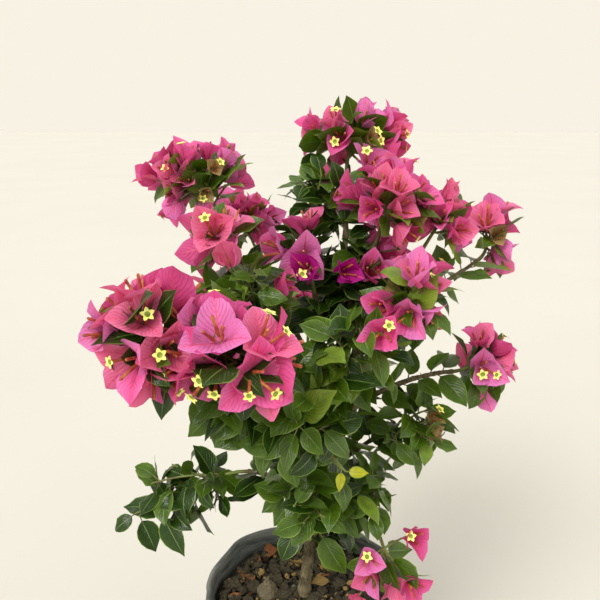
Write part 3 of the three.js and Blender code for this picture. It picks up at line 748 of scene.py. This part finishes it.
class Recipe:
    """A material's node tree, built up a node at a time."""

    def __init__(self, name, roughness):
        self.material = bpy.data.materials.new(name)
        self.material.use_nodes = True
        self.tree = self.material.node_tree
        self.surface = self.tree.nodes["Principled BSDF"]
        self.surface.inputs["Roughness"].default_value = roughness

    def node(self, kind, inputs=(), **settings):
        """Adds a node; its inputs take values or other nodes' outputs."""
        made = self.tree.nodes.new("ShaderNode" + kind)
        for key, value in settings.items():
            setattr(made, key, value)
        for key, value in dict(inputs).items():
            self.feed(made.inputs[key], value)
        return made

    def feed(self, socket, value):
        if isinstance(value, bpy.types.NodeSocket):
            self.tree.links.new(value, socket)
        else:
            socket.default_value = value

    def math(self, operation, *values):
        return self.node("Math", enumerate(values), operation=operation).outputs[0]

    def coords(self):
        return self.node("TexCoord").outputs["Object"]

    def noise(self, vector, scale, detail=4, roughness=0.6):
        inputs = {"Vector": vector, "Scale": scale, "Detail": detail, "Roughness": roughness}
        return self.node("TexNoise", inputs).outputs["Fac"]

    def ramp(self, factor, stops):
        """Colours or greys along a factor, given as (place, colour)."""
        made = self.node("ValToRGB", {"Fac": factor})
        elements = made.color_ramp.elements
        while len(elements) < len(stops):
            elements.new(0.5)
        for element, (place, colour) in zip(elements, stops):
            element.position = place
            element.color = (*colour, 1) if isinstance(colour, tuple) else (colour, colour, colour, 1)
        return made.outputs["Color"]

    def mix(self, factor, a, b):
        made = self.node("Mix", data_type="RGBA")
        for socket, value in zip((made.inputs[0], made.inputs[6], made.inputs[7]), (factor, a, b)):
            self.feed(socket, (*value, 1) if isinstance(value, tuple) else value)
        return made.outputs[2]

    def bump(self, height, strength, distance):
        made = self.node("Bump", {"Height": height, "Strength": strength, "Distance": distance})
        self.feed(self.surface.inputs["Normal"], made.outputs["Normal"])

    def paint(self, colour):
        self.feed(self.surface.inputs["Base Color"], (*colour, 1) if isinstance(colour, tuple) else colour)

    def glow_through(self, share, colour):
        """Lets a share of the light through, as thin living tissue does."""
        through = self.node("BsdfTranslucent", {"Color": (*colour, 1)})
        mixed = self.node("MixShader", {0: share, 1: self.surface.outputs[0], 2: through.outputs[0]})
        self.feed(self.tree.nodes["Material Output"].inputs["Surface"], mixed.outputs[0])


def srgb(red, green, blue):
    """A colour given as screen values from 0 to 255."""
    shares = (red / 255, green / 255, blue / 255)
    return tuple(((c + 0.055) / 1.055) ** 2.4 if c > 0.04 else c / 12.92 for c in shares)


def tinted(tint, *colours):
    """Some colours, each with a tint laid over it."""
    return [tuple(c * t for c, t in zip(colour, tint)) for colour in colours]


def veined(name, colour, vein, edge, roughness, through, patchy):
    """A blade's tissue: its colour turning to another at the edge, faint side veins, a little see-through."""
    recipe = Recipe(name, roughness)
    uv = recipe.node("UVMap", uv_map="Blade").outputs["UV"]
    split = recipe.node("SeparateXYZ", {0: uv})
    off_rib = recipe.math("ABSOLUTE", recipe.math("SUBTRACT", split.outputs["Y"], 0.5))
    patch = recipe.noise(recipe.coords(), 150, 4)
    wander = recipe.math("MULTIPLY", patch, 0.12)
    line = recipe.math("SUBTRACT", recipe.math("ADD", split.outputs["X"], wander), off_rib)
    wave = recipe.math("PINGPONG", recipe.math("MULTIPLY", line, 8), 0.5)
    near = recipe.ramp(wave, [(0.0, 1.0), (0.2, 0.0)])
    shade = tuple((1 - patchy) * c for c in colour)
    base = recipe.mix(recipe.ramp(patch, [(0.36, 0.0), (0.62, 1.0)]), shade, colour)
    blotch = recipe.ramp(recipe.noise(recipe.coords(), 55, 2), [(0.3, 0.35), (0.65, 1.0)])
    to_edge = recipe.math("MULTIPLY", recipe.ramp(off_rib, [(0.1, 0.0), (0.5, 0.9)]), blotch)
    base = recipe.mix(to_edge, base, edge)
    recipe.paint(recipe.mix(recipe.math("MULTIPLY", near, 0.42), base, vein))
    recipe.bump(recipe.math("ADD", recipe.math("MULTIPLY", near, 0.4), patch), 0.7, 0.0012)
    recipe.glow_through(through, colour)
    return recipe.material


# Name, colour, veins, edge
LEAF_TONES = (
    ("leaf light", srgb(118, 148, 34), srgb(140, 164, 64), srgb(136, 160, 56)),
    ("leaf green", srgb(70, 102, 9), srgb(94, 126, 38), srgb(90, 120, 28)),
    ("leaf dark", srgb(36, 64, 6), srgb(54, 84, 26), srgb(50, 80, 18)),
    ("leaf yellow", srgb(206, 204, 16), srgb(216, 214, 70), srgb(150, 170, 30)),
)
BRACT_TONES = (
    ("bract lilac", srgb(244, 130, 196), srgb(214, 74, 150), srgb(232, 146, 216)),
    ("bract hot pink", srgb(250, 98, 172), srgb(222, 52, 122), srgb(242, 138, 202)),
    ("bract rose", srgb(246, 116, 164), srgb(214, 60, 116), srgb(240, 138, 192)),
    ("bract coral", srgb(250, 114, 162), srgb(224, 70, 110), srgb(246, 142, 184)),
    ("bract deep", srgb(228, 82, 146), srgb(188, 40, 102), srgb(224, 108, 176)),
    ("bract magenta", srgb(190, 12, 138), srgb(154, 8, 106), srgb(182, 26, 148)),
    ("bract young", srgb(166, 160, 92), srgb(140, 130, 66), srgb(206, 130, 112)),
)


def mottled(name, roughness, scale, *colours, first=0.3, detail=4, grain=0.6, bump=None):
    """A matt skin that wanders between some colours, evenly placed along the noise."""
    recipe = Recipe(name, roughness)
    places = np.linspace(first, 1 - first, len(colours))
    patch = recipe.noise(recipe.coords(), scale, detail, grain)
    recipe.paint(recipe.ramp(patch, list(zip(places, colours))))
    if bump:
        recipe.bump(patch, *bump)
    return recipe.material


def leaf_materials(tint):
    return [
        *(veined(name, *tinted(tint, *colours), 0.28, 0.2, 0.42) for name, *colours in LEAF_TONES),
        mottled("leaf midrib", 0.5, 60, *tinted(tint, srgb(84, 112, 40), srgb(112, 138, 60))),
        mottled("leaf margin", 0.5, 60, *tinted(tint, srgb(86, 114, 36), srgb(124, 148, 60))),
    ]


def bract_materials(tint):
    return [
        *(veined(name, *tinted(tint, *colours), 0.6, 0.35, 0.16) for name, *colours in BRACT_TONES),
        mottled("bract midrib", 0.6, 60, *tinted(tint, srgb(196, 60, 104), srgb(214, 88, 122))),
    ]


def tube_material():
    colours = srgb(140, 50, 42), srgb(172, 86, 52), srgb(196, 146, 78)
    return mottled("flower tube", 0.55, 150, *colours, first=0.32)


def star_materials():
    petal = mottled("flower star", 0.55, 400, srgb(232, 226, 96), srgb(246, 242, 150))
    eye = mottled("flower eye", 0.6, 500, srgb(92, 116, 30), srgb(160, 170, 60))
    return [petal, eye]


def bark_material(tint):
    dark, middle, pale = tinted(tint, srgb(44, 36, 20), srgb(88, 78, 52), srgb(142, 130, 98))
    recipe = Recipe("bark", 0.85)
    spot = recipe.node("Mapping", {"Vector": recipe.coords(), "Scale": (1, 1, 0.35)}).outputs[0]
    grain = recipe.noise(spot, 420, 6, 0.7)
    patch = recipe.noise(recipe.coords(), 70, 3)
    base = recipe.ramp(grain, [(0.3, dark), (0.5, middle), (0.72, pale)])
    recipe.paint(recipe.mix(recipe.ramp(patch, [(0.4, 0.0), (0.75, 0.55)]), base, pale))
    recipe.bump(grain, 0.6, 0.0009)
    return recipe.material


def twig_material():
    recipe = Recipe("twig skin", 0.6)
    patch = recipe.noise(recipe.coords(), 45, 3)
    stops = [(0.35, srgb(98, 92, 48)), (0.6, srgb(112, 128, 58)), (0.75, srgb(122, 96, 66))]
    recipe.paint(recipe.ramp(patch, stops))
    recipe.bump(recipe.noise(recipe.coords(), 900, 3), 0.3, 0.0002)
    return recipe.material


def pot_material(plastic, dust_and_highlight_colour):
    """Dull plastic with pale streaks, more of them towards the rim: partly a dry film of dirt, partly painted
    highlight on the rim.
    """
    recipe = Recipe("soft black plastic", 0.5)
    where = recipe.coords()
    streaky = recipe.node("Mapping", {"Vector": where, "Scale": (1, 1, 7)}).outputs[0]
    dust_and_highlight = recipe.noise(streaky, 22, 6, 0.7)
    height = recipe.node("SeparateXYZ", {0: where}).outputs["Z"]
    upper = recipe.node("MapRange", {"Value": height, "From Min": 0.13, "From Max": 0.172}).outputs[0]
    amount = recipe.math("ADD", upper, 0.25)
    # Painted highlight: the pale streaks, heavier towards the rim, are partly dirt and partly light painted
    # onto the rim
    dust_and_highlight_mask = recipe.math("MULTIPLY", recipe.ramp(dust_and_highlight, [(0.38, 0.1), (0.68, 1.0)]), amount)
    recipe.paint(recipe.mix(recipe.math("MULTIPLY", dust_and_highlight_mask, 0.85), tuple(plastic), tuple(dust_and_highlight_colour)))
    rough = recipe.node("MapRange", {"Value": dust_and_highlight_mask, "To Min": 0.36, "To Max": 0.75}).outputs[0]
    recipe.feed(recipe.surface.inputs["Roughness"], rough)
    grain = recipe.math("MULTIPLY", recipe.noise(where, 300, 4), 0.3)
    recipe.bump(recipe.math("ADD", recipe.noise(streaky, 30, 5, 0.65), grain), 0.6, 0.003)
    return recipe.material


def soil_material(tint):
    browns = srgb(14, 11, 6), srgb(38, 32, 18), srgb(88, 78, 52), srgb(52, 48, 28)
    dark, middle, pale, damp = tinted(tint, *browns)
    recipe = Recipe("potting soil", 0.95)
    grit = recipe.noise(recipe.coords(), 260, 8, 0.75)
    patch = recipe.noise(recipe.coords(), 34, 3)
    base = recipe.ramp(grit, [(0.3, dark), (0.52, middle), (0.75, pale)])
    recipe.paint(recipe.mix(recipe.ramp(patch, [(0.45, 0.0), (0.8, 0.45)]), base, damp))
    recipe.bump(grit, 1.0, 0.002)
    return recipe.material


def lump_material(name, dark, pale):
    return mottled(name, 0.9, 420, dark, pale, detail=5, grain=0.7, bump=(0.7, 0.0006))


# ---- Settings ----


def number(name, description, default, **limits):
    return bpy.props.FloatProperty(name=name, description=description, default=default, min=0.0, **limits)


def metres(*words_and_default):
    return number(*words_and_default, unit="LENGTH")


def fraction(*words_and_default):
    return number(*words_and_default, max=1.0, subtype="FACTOR")


def whole(name, description, default):
    return bpy.props.IntProperty(name=name, description=description, default=default, min=1)


def colour(name, description, default=(1, 1, 1)):
    limits = {"min": 0.0, "max": 1.0, "subtype": "COLOR"}
    return bpy.props.FloatVectorProperty(name=name, description=description, default=default, **limits)


class BUSH_PG_pot(bpy.types.PropertyGroup):
    height: metres("Height", "Height of the pot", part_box("pot")[1][2])
    rim_radius: metres("Rim radius", "Outer radius of the wall at the rim", 0.1005)
    base_radius: metres("Base radius", "Outer radius of the wall at the base", 0.075)
    wall: metres("Wall", "Thickness of the wall", 0.003)
    floor: metres("Floor", "Thickness of the floor", 0.004)
    lip: metres("Lip", "How far the rolled lip stands out", 0.0025)
    lip_height: metres("Lip height", "Height of the rolled lip", 0.011)
    slack: metres("Slack", "How far the soft rim is out of round", 0.0017)
    soil_depth: metres("Soil depth", "How far the soil lies below the rim", 0.02)
    plastic: colour("Plastic", "Colour of the clean plastic", srgb(44, 48, 50))
    # The pale streaks' colour: dirt on the plastic, and also the painted highlights on the rim
    dust_and_highlight: colour("Dust", "Colour of the dust dried on it", srgb(124, 129, 120))
    soil_tint: colour("Soil tint", "Colour laid over the soil's own browns")


class BUSH_PG_wood(bpy.types.PropertyGroup):
    relief: metres("Bark relief", "Height of the bark's ridges", 0.0005)
    knot_gap: metres("Knot gap", "Distance between the rings of old leaf scars", 0.021)
    knot_height: fraction("Knot height", "How far a ring of scars stands out, by the radius", 0.14)
    tint: colour("Bark tint", "Colour laid over the bark's own browns")


class BUSH_PG_leaf(bpy.types.PropertyGroup):
    length: metres("Length", "Length of a full leaf", 0.037)
    width: metres("Width", "Width of a full leaf", 0.0232)
    stalk: metres("Stalk", "Length of a leaf's stalk", 0.007)
    gap: metres("Gap", "Least distance between the middles of leaves", 0.0118)
    inset: metres("Inset", "How far a twig stops short of its space's edge", 0.016)
    per_twig: whole("Leaves", "Leaves on each twig", 8)
    per_bloom: whole("Bloom leaves", "Leaves on each bloom's stalk, five at the most", 5)
    tint: colour("Leaf tint", "Colour laid over the leaves' own greens")


class BUSH_PG_bloom(bpy.types.PropertyGroup):
    length: metres("Length", "Length of a bract", 0.028)
    width: metres("Width", "Width of a bract", 0.0235)
    tube: metres("Tube", "Length of a flower tube", 0.018)
    star: metres("Star", "Width of an open flower", 0.0095)
    gap: metres("Gap", "Least distance between the middles of blooms", 0.0195)
    inset: metres("Inset", "How far a stalk stops short of its space's edge", 0.021)
    opened: fraction("Opened", "Share of the flowers that are open", 0.19)
    tint: colour("Bract tint", "Colour laid over the bracts' own pinks")


class BUSH_PG_stage(bpy.types.PropertyGroup):
    floor_size: metres("Floor size", "Side of the floor", 30.0)
    key_strength: number("Key", "Strength of the main light", 2.95)
    fill_strength: number("Fill", "Strength of the other lights", 1.0)
    sky: number("Sky", "Strength of the light from overhead", 0.5)


# ---- Pieces ----


CRUMBS, FLAKES = 1300, 64  # how many of each lie on the soil
CRUMB_SHAPE = ((0.7, 1.5), (0.6, 1.2), (0.5, 0.9))  # least and greatest length, width and thickness
# A push in and the bulge beside it: depth as a share of the slack, angle and width
DENT = ((1.6, 2.62, 0.2), (-0.7, 3.04, 0.16))
# Clear of the pot: the soil's rim and its underside
WALL_GAP, FLOOR_GAP = 0.0009, 0.0003


def pot_slack(pot, angle, share):
    """How far the wall is out of round at an angle, with one dent at the back left of the rim."""
    dent = sum(depth * math.exp(-(((angle - at) / width) ** 2)) for depth, at, width in DENT)
    return pot.slack * share * (math.sin(3 * angle + 0.6) + 0.7 * math.sin(5 * angle + 2.1) - dent)


def pot_radius(pot, z):
    """Outer radius of the wall at a height."""
    return pot.base_radius + (pot.rim_radius - pot.base_radius) * z / pot.height


def soften(obj, pot, creases):
    """Pulls a turned shape out of round as the soft wall is, with shallow creases down it."""
    for vertex in obj.data.vertices:
        radius = math.hypot(vertex.co.x, vertex.co.y)
        if radius < 1e-5:
            continue
        angle = math.atan2(vertex.co.y, vertex.co.x)
        share = min(max(vertex.co.z / pot.height, 0), 1)
        change = pot_slack(pot, angle, share) * radius / pot_radius(pot, vertex.co.z)
        spot = Vector((3.1 * math.cos(angle), 3.1 * math.sin(angle), 9 * vertex.co.z))
        change += creases * noise.fractal(spot, 0.9, 2, 3) * min(share * 4, 1)
        vertex.co.x *= 1 + change / radius
        vertex.co.y *= 1 + change / radius
    obj.data.update()


def arc_points(centre, radius, start, end, steps):
    """Points of an arc in the profile's plane, as (radius, height)."""
    angles = [start + (end - start) * i / steps for i in range(steps + 1)]
    return [(centre[0] + radius * math.cos(a), centre[1] + radius * math.sin(a)) for a in angles]


def spun_object(name, profile, steps, materials):
    """Spins a profile of (radius, height) points about Z into one closed mesh."""
    mesh = bpy.data.meshes.new(name)
    edges = [(i, i + 1) for i in range(len(profile) - 1)]
    mesh.from_pydata([(r, 0, z) for r, z in profile], edges, [])
    obj = new_object(name, mesh, materials)
    bpy.ops.object.mode_set(mode="EDIT")
    bpy.ops.mesh.select_all(action="SELECT")
    bpy.ops.mesh.spin(steps=steps, angle=2 * math.pi, center=(0, 0, 0), axis=(0, 0, 1))
    bpy.ops.mesh.select_all(action="SELECT")
    bpy.ops.mesh.remove_doubles(threshold=1e-5)
    bpy.ops.mesh.normals_make_consistent(inside=False)
    bpy.ops.object.mode_set(mode="OBJECT")
    bpy.ops.object.shade_smooth_by_angle(angle=math.radians(40))
    return obj


class BUSH_OT_pot(bpy.types.Operator):
    """Makes the soft nursery pot with its rolled rim"""

    bl_idname = "bush.pot"
    bl_label = "Pot"

    def execute(self, context):
        pot = context.scene.bush_pot
        under = pot.height - pot.lip_height
        wall_under, wall_top = pot_radius(pot, under), pot_radius(pot, pot.height)
        roll = 0.5 * (pot.wall + pot.lip)
        foot_round = 0.003
        flat = pot.base_radius - foot_round
        heights = np.linspace(2 * foot_round, under - 0.003, 14)
        profile = [(0, 0), (flat, 0)]
        profile += arc_points((flat, foot_round), foot_round, -math.pi / 2, 0, 3)[1:]
        profile += [(pot_radius(pot, z), z) for z in heights]
        shoulder = pot.height - 0.006
        profile += [(wall_under + 0.0003, under), (wall_under + pot.lip, under + 0.002)]
        profile += [(wall_top + pot.lip * 0.9, shoulder)]
        profile += arc_points((wall_top + pot.lip - roll, pot.height - roll), roll, 0.15, math.pi - 0.2, 7)
        profile += [(pot_radius(pot, z) - pot.wall, z) for z in np.linspace(shoulder, pot.floor, 12)]
        profile += [(0, pot.floor)]
        obj = spun_object("pot", profile, 144, [pot_material(pot.plastic, pot.dust_and_highlight)])
        soften(obj, pot, 0.0011)
        return finish_piece(obj, "pot", "pot")


class BUSH_OT_soil(bpy.types.Operator):
    """Fills the pot with crumbly soil"""

    bl_idname = "bush.soil"
    bl_label = "Soil"

    def execute(self, context):
        pot = context.scene.bush_pot
        top = pot.height - pot.soil_depth
        edge = pot_radius(pot, top) - pot.wall - WALL_GAP
        foot = pot_radius(pot, pot.floor) - pot.wall - WALL_GAP
        rings = 46
        profile = [(0, pot.floor + FLOOR_GAP), (foot, pot.floor + FLOOR_GAP)]
        profile += [(edge * i / rings, top) for i in range(rings, -1, -1)]
        obj = spun_object("soil", profile, 180, [soil_material(pot.soil_tint)])
        soften(obj, pot, 0.0)
        for vertex in obj.data.vertices:
            if vertex.co.z > top - 0.001:
                lumps = noise.fractal(vertex.co * 110, 0.7, 2.1, 5) * 0.003
                clods = abs(noise.noise(vertex.co * 62)) * 0.004
                heaps = noise.noise(vertex.co * 24) * 0.003
                vertex.co.z += lumps + clods + heaps - 0.003
        obj.data.update()
        return finish_piece(obj, "soil", "soil")


def soil_spot(pot, dice):
    """A place on the soil, away from the pot's wall."""
    turn = dice.turn()
    flat = math.sqrt(dice.between(0, 1)) * soil_radius(pot)
    return Vector((flat * math.cos(turn), flat * math.sin(turn), pot.height - pot.soil_depth))


class BUSH_OT_litter(bpy.types.Operator):
    """Scatters crumbs, chips and dry leaves over the soil"""

    bl_idname = "bush.litter"
    bl_label = "Soil litter"

    def execute(self, context):
        pot = context.scene.bush_pot
        materials = [
            lump_material("soil crumb", srgb(22, 18, 9), srgb(76, 68, 44)),
            lump_material("grey crumb", srgb(64, 60, 44), srgb(112, 106, 84)),
            lump_material("tan chip", srgb(100, 80, 38), srgb(168, 138, 76)),
            lump_material("rust chip", srgb(92, 54, 26), srgb(146, 94, 50)),
        ]
        finish_piece(self.crumbs(pot, materials), "soil")
        finish_piece(self.flakes(pot, materials[2:]), "soil")
        return finish_piece(self.corm(), "soil")

    def crumbs(self, pot, materials):
        """Crumbs and clods of every size, most of them small."""
        dice = Dice(CRUMB_SEED)
        frames, slots = [], []
        for i in range(CRUMBS):
            spot = soil_spot(pot, dice)
            size = dice.between(0.001, 0.0026) if i % 4 else dice.between(0.0026, 0.0058)
            shape = Matrix.Diagonal((*[dice.between(low, high) for low, high in CRUMB_SHAPE], 1))
            way = (UP + dice.way() * 0.7).normalized()
            frames.append(frame_on(spot + UP * (size * 0.1), way, dice.turn(), size) @ shape)
            slots.append((0, 0, 0, 0, 0, 0, 0, 0, 1, 2)[int(dice.between(0, 10))] if size < 0.004 else 0)
        bpy.ops.mesh.primitive_uv_sphere_add(segments=6, ring_count=5, radius=1)
        ball = bpy.context.object
        roughened(ball, 0.45, 1.4)
        template = ball.data.copy()
        bpy.data.objects.remove(ball)
        return copies_object("soil_litter", template, frames, materials, slots)

    def flakes(self, pot, materials):
        """Dry leaf bits and bark chips, lying about, with a few whole curled leaves."""
        dice = Dice(FLAKE_SEED)
        flakes = []
        spots = [Vector(place) * MM for place in FALLEN_LEAVES]
        for i in range(FLAKES):
            whole = i < len(spots)
            spot = spots[i] if whole else soil_spot(pot, dice) + UP * 0.0012
            turn = dice.turn()
            along = Vector((math.cos(turn), math.sin(turn), dice.between(-0.1, 0.35))).normalized()
            length = 0.021 if whole else dice.between(0.005, 0.012)
            flakes.append(
                {
                    "root": spot - along * (0.5 * length),
                    "along": along,
                    "face": UP + dice.way() * 0.5,
                    "length": length,
                    "width": length * (0.75 if whole else dice.between(0.35, 0.7)),
                    **dice.form(CHIP_FORM),
                    "tone": 1 if i % 3 == 0 else 0,
                }
            )
        return sheets_object("dry_leaf_bits", flakes, LEAF_OUTLINE, BRACT_COLUMNS, {}, materials)

    def corm(self):
        """A dry rounded corm half sunk in the soil, with the stump of its stalk."""
        place = Vector(CORM) * MM
        radius = CORM_RADIUS * MM
        bpy.ops.mesh.primitive_uv_sphere_add(segments=48, ring_count=28, radius=radius)
        obj = bpy.context.object
        obj.name = "corm"
        for vertex in obj.data.vertices:
            turn = math.atan2(vertex.co.y, vertex.co.x)
            lobes = 1 + 0.05 * math.sin(5 * turn + 0.7) + 0.09 * noise.fractal(vertex.co * 130, 0.8, 2.1, 4)
            rising = max(vertex.co.z / radius, 0)
            vertex.co *= lobes
            vertex.co.z = vertex.co.z * 0.82 + radius * 0.55 * rising**6
            vertex.co += place
        obj.data.materials.append(lump_material("corm skin", srgb(66, 58, 42), srgb(122, 112, 86)))
        obj.data.update()
        return obj


class BUSH_OT_wood(bpy.types.Operator):
    """Grows the trunk and the boughs with the relief of their bark"""

    bl_idname = "bush.wood"
    bl_label = "Trunk and boughs"

    def execute(self, context):
        wood = context.scene.bush_wood
        bush = bush_of(context)
        rods = [self.rod(bush.limbs["trunk"], wood, TRUNK_RADII, TRUNK_FLARE, 5)]
        for number, (name, (_, share, _, _, *radii)) in enumerate(BOUGHS.items()):
            swell = (0, 1) if share == 1 else BOUGH_SWELL
            rods.append(self.rod(bush.limbs[name], wood, radii, swell, number))
        obj = rods_object("trunk_and_boughs", rods, 12, [bark_material(wood.tint)])
        roughened(obj, wood.relief, 260, (1, 1, 0.4))
        names = ["trunk", *("bough_" + name for name in BOUGHS)]
        return finish_piece(obj, "bark", *names)

    def rod(self, line, wood, radii, swell, seed):
        """Places and radii every 1.5 mm along a line, thicker at its foot and at each ring of scars."""
        thick, thin = radii
        extra, reach = swell
        length = sum((b - a).length for a, b in zip(line.places, line.places[1:]))
        steps = max(int(length / 0.0015), 4)
        first = wood.knot_gap * draw(seed, KNOT_DRAW)
        rod = []
        for i in range(steps + 1):
            run = length * i / steps
            off = abs((run - first + 0.5 * wood.knot_gap) % wood.knot_gap - 0.5 * wood.knot_gap)
            knot = 1 + wood.knot_height * math.exp(-((off / 0.0022) ** 2))
            radius = thick + (thin - thick) * i / steps + extra * math.exp(-run / (reach * MM))
            rod.append((line.point(i / steps), radius * MM * knot))
        return rod


class BUSH_OT_twigs(bpy.types.Operator):
    """Grows the green twigs and the leaf stalks"""

    bl_idname = "bush.twigs"
    bl_label = "Twigs"

    def execute(self, context):
        obj = rods_object("twigs", bush_of(context).twigs, 6, [twig_material()])
        return finish_piece(obj, "young_bark")


class BUSH_OT_leaves(bpy.types.Operator):
    """Grows the leaves"""

    bl_idname = "bush.leaves"
    bl_label = "Leaves"

    def execute(self, context):
        materials = leaf_materials(context.scene.bush_leaf.tint)
        rib, margin = len(materials) - 2, len(materials) - 1
        strips = {0: margin, 3: rib, 6: margin}
        blades = bush_of(context).leaves
        obj = sheets_object("leaves", blades, LEAF_OUTLINE, LEAF_COLUMNS, strips, materials)
        return finish_piece(obj, "leaf", *("foliage_" + name for name in FOLIAGE))


class BUSH_OT_bracts(bpy.types.Operator):
    """Grows the papery bracts, three to a bloom"""

    bl_idname = "bush.bracts"
    bl_label = "Bracts"

    def execute(self, context):
        materials = bract_materials(context.scene.bush_bloom.tint)
        strips = {2: len(materials) - 1}
        blades = bush_of(context).bracts
        obj = sheets_object("bracts", blades, BRACT_OUTLINE, BRACT_COLUMNS, strips, materials)
        return finish_piece(obj, "blossom", *("blossom_" + name for name in BLOSSOM))


class BUSH_OT_flowers(bpy.types.Operator):
    """Grows the flower tubes and the open flowers"""

    bl_idname = "bush.flowers"
    bl_label = "Flowers"

    def execute(self, context):
        bush = bush_of(context)
        tubes = rods_object("flower_tubes", bush.tubes, 6, [tube_material()])
        finish_piece(tubes, "blossom")
        template = self.star_mesh(context.scene.bush_bloom)
        frames = [frame_on(place, way, spin, size) for place, way, size, spin in bush.stars]
        stars = copies_object("flower_stars", template, frames, star_materials())
        return finish_piece(stars, "blossom")

    def star_mesh(self, bloom):
        """A five-pointed flower with a dished middle."""
        points = 20
        bpy.ops.mesh.primitive_circle_add(vertices=points, radius=0.5 * bloom.star, fill_type="NGON")
        obj = bpy.context.object
        bpy.ops.object.mode_set(mode="EDIT")
        bpy.ops.mesh.select_all(action="SELECT")
        bpy.ops.mesh.inset(thickness=0.3 * bloom.star)
        bpy.ops.mesh.poke()
        bpy.ops.object.mode_set(mode="OBJECT")
        mesh = obj.data
        for vertex in mesh.vertices:
            flat = math.hypot(vertex.co.x, vertex.co.y)
            turn = math.atan2(vertex.co.y, vertex.co.x)
            if flat > 0.4 * bloom.star:
                vertex.co *= 0.78 + 0.22 * math.cos(5 * turn)
                vertex.co.z = 0.06 * bloom.star
            elif flat < 1e-6:
                vertex.co.z = -0.12 * bloom.star
        for polygon in mesh.polygons:
            polygon.material_index = 1 if len(polygon.vertices) == 3 else 0
            polygon.use_smooth = False
        template = mesh.copy()
        bpy.data.objects.remove(obj)
        return template


CAMERA_PLACE, CAMERA_TILT, LENS, SENSOR = (-0.007, -0.533, 0.638), 73, 38.58, 36
# Each light: its name, the way it shines, the setting for its strength, its width in degrees and its colour
LIGHTS = (
    ("key light", (0.9, 1.3, -1.5), "key_strength", 34, (1.0, 0.985, 0.96)),
    ("fill light", (-2.7, 1.3, -1.2), "fill_strength", 60, (1.0, 0.98, 0.97)),
    ("top light", (-0.2, -1.1, -3.1), "fill_strength", 60, (1.0, 1.0, 1.0)),
)


class BUSH_OT_stage(bpy.types.Operator):
    """Sets the plain floor, the soft lights and the camera"""

    bl_idname = "bush.stage"
    bl_label = "Stage"

    def execute(self, context):
        stage = context.scene.bush_stage
        floor = self.sheet(stage.floor_size)
        paper = mottled("pale floor", 0.9, 1.5, srgb(201, 198, 189), srgb(204, 201, 192), detail=2)
        floor.data.materials.append(paper)
        self.sky(context, stage.sky)
        for name, way, strength, width, colour in LIGHTS:
            self.sun(name, way, getattr(stage, strength), width, colour)
        self.camera(context)
        return {"FINISHED"}

    def sheet(self, size):
        """A plain floor, just under the pot."""
        bpy.ops.mesh.primitive_plane_add(size=size, location=(0, 0, 0))
        floor = bpy.context.object
        floor.name = "floor"
        for vertex in floor.data.vertices:
            vertex.co.z = -0.0005
        return floor

    def sky(self, context, strength):
        """Light from all round, as bright as the floor at the skyline and softer overhead."""
        world = bpy.data.worlds.new("soft sky")
        world.use_nodes = True
        tree = world.node_tree
        background = tree.nodes["Background"]
        background.inputs["Color"].default_value = (*srgb(246, 240, 226), 1)
        where = tree.nodes.new("ShaderNodeTexCoord")
        height = tree.nodes.new("ShaderNodeSeparateXYZ")
        fade = tree.nodes.new("ShaderNodeMapRange")
        for name, value in (("From Min", 0.2), ("From Max", 0.5), ("To Min", 1.02), ("To Max", strength)):
            fade.inputs[name].default_value = value
        tree.links.new(where.outputs["Generated"], height.inputs[0])
        tree.links.new(height.outputs["Z"], fade.inputs["Value"])
        tree.links.new(fade.outputs["Result"], background.inputs["Strength"])
        context.scene.world = world
        context.scene.view_settings.view_transform = "Standard"

    def sun(self, name, way, strength, width, colour):
        """A broad soft light along a way, the same over the whole floor."""
        bpy.ops.object.light_add(type="SUN", location=-Vector(way))
        lamp = bpy.context.object
        lamp.name = name
        lamp.data.energy = strength
        lamp.data.angle = math.radians(width)
        lamp.data.color = colour
        lamp.rotation_euler = Vector(way).to_track_quat("-Z", "Y").to_euler()

    def camera(self, context):
        bpy.ops.object.camera_add(location=CAMERA_PLACE, rotation=(math.radians(CAMERA_TILT), 0, 0))
        camera = bpy.context.object
        camera.name = "camera"
        camera.data.lens = LENS
        camera.data.sensor_width = SENSOR
        camera.data.clip_start = 0.01
        context.scene.camera = camera


# ---- Panel and registration ----

grown = {}


def bush_of(context):
    """The plan of the whole plant, grown once."""
    if "bush" not in grown:
        grown["bush"] = Bush(context)
    return grown["bush"]


PIECES = (
    BUSH_OT_pot,
    BUSH_OT_soil,
    BUSH_OT_litter,
    BUSH_OT_wood,
    BUSH_OT_twigs,
    BUSH_OT_leaves,
    BUSH_OT_bracts,
    BUSH_OT_flowers,
    BUSH_OT_stage,
)
SETTINGS = {
    "bush_pot": BUSH_PG_pot,
    "bush_wood": BUSH_PG_wood,
    "bush_leaf": BUSH_PG_leaf,
    "bush_bloom": BUSH_PG_bloom,
    "bush_stage": BUSH_PG_stage,
}


class BUSH_PT_panel(bpy.types.Panel):
    """Settings and pieces of the bush"""

    bl_label = "Bougainvillea"
    bl_idname = "BUSH_PT_panel"
    bl_space_type = "VIEW_3D"
    bl_region_type = "UI"
    bl_category = "Bougainvillea"

    def draw(self, context):
        for key, group in SETTINGS.items():
            box = self.layout.box()
            for setting in group.__annotations__:
                box.prop(getattr(context.scene, key), setting)
        for piece in PIECES:
            self.layout.operator(piece.bl_idname)


def register():
    for group in (*SETTINGS.values(), *PIECES, BUSH_PT_panel):
        bpy.utils.register_class(group)
    for key, group in SETTINGS.items():
        setattr(bpy.types.Scene, key, bpy.props.PointerProperty(type=group))


def unregister():
    for key in SETTINGS:
        delattr(bpy.types.Scene, key)
    for group in (BUSH_PT_panel, *reversed(PIECES), *SETTINGS.values()):
        bpy.utils.unregister_class(group)


def main():
    """Makes each piece in turn."""
    register()
    for piece in PIECES:
        family, name = piece.bl_idname.split(".")
        deselect_all()
        getattr(getattr(bpy.ops, family), name)()


if __name__ == "__main__":
    main()
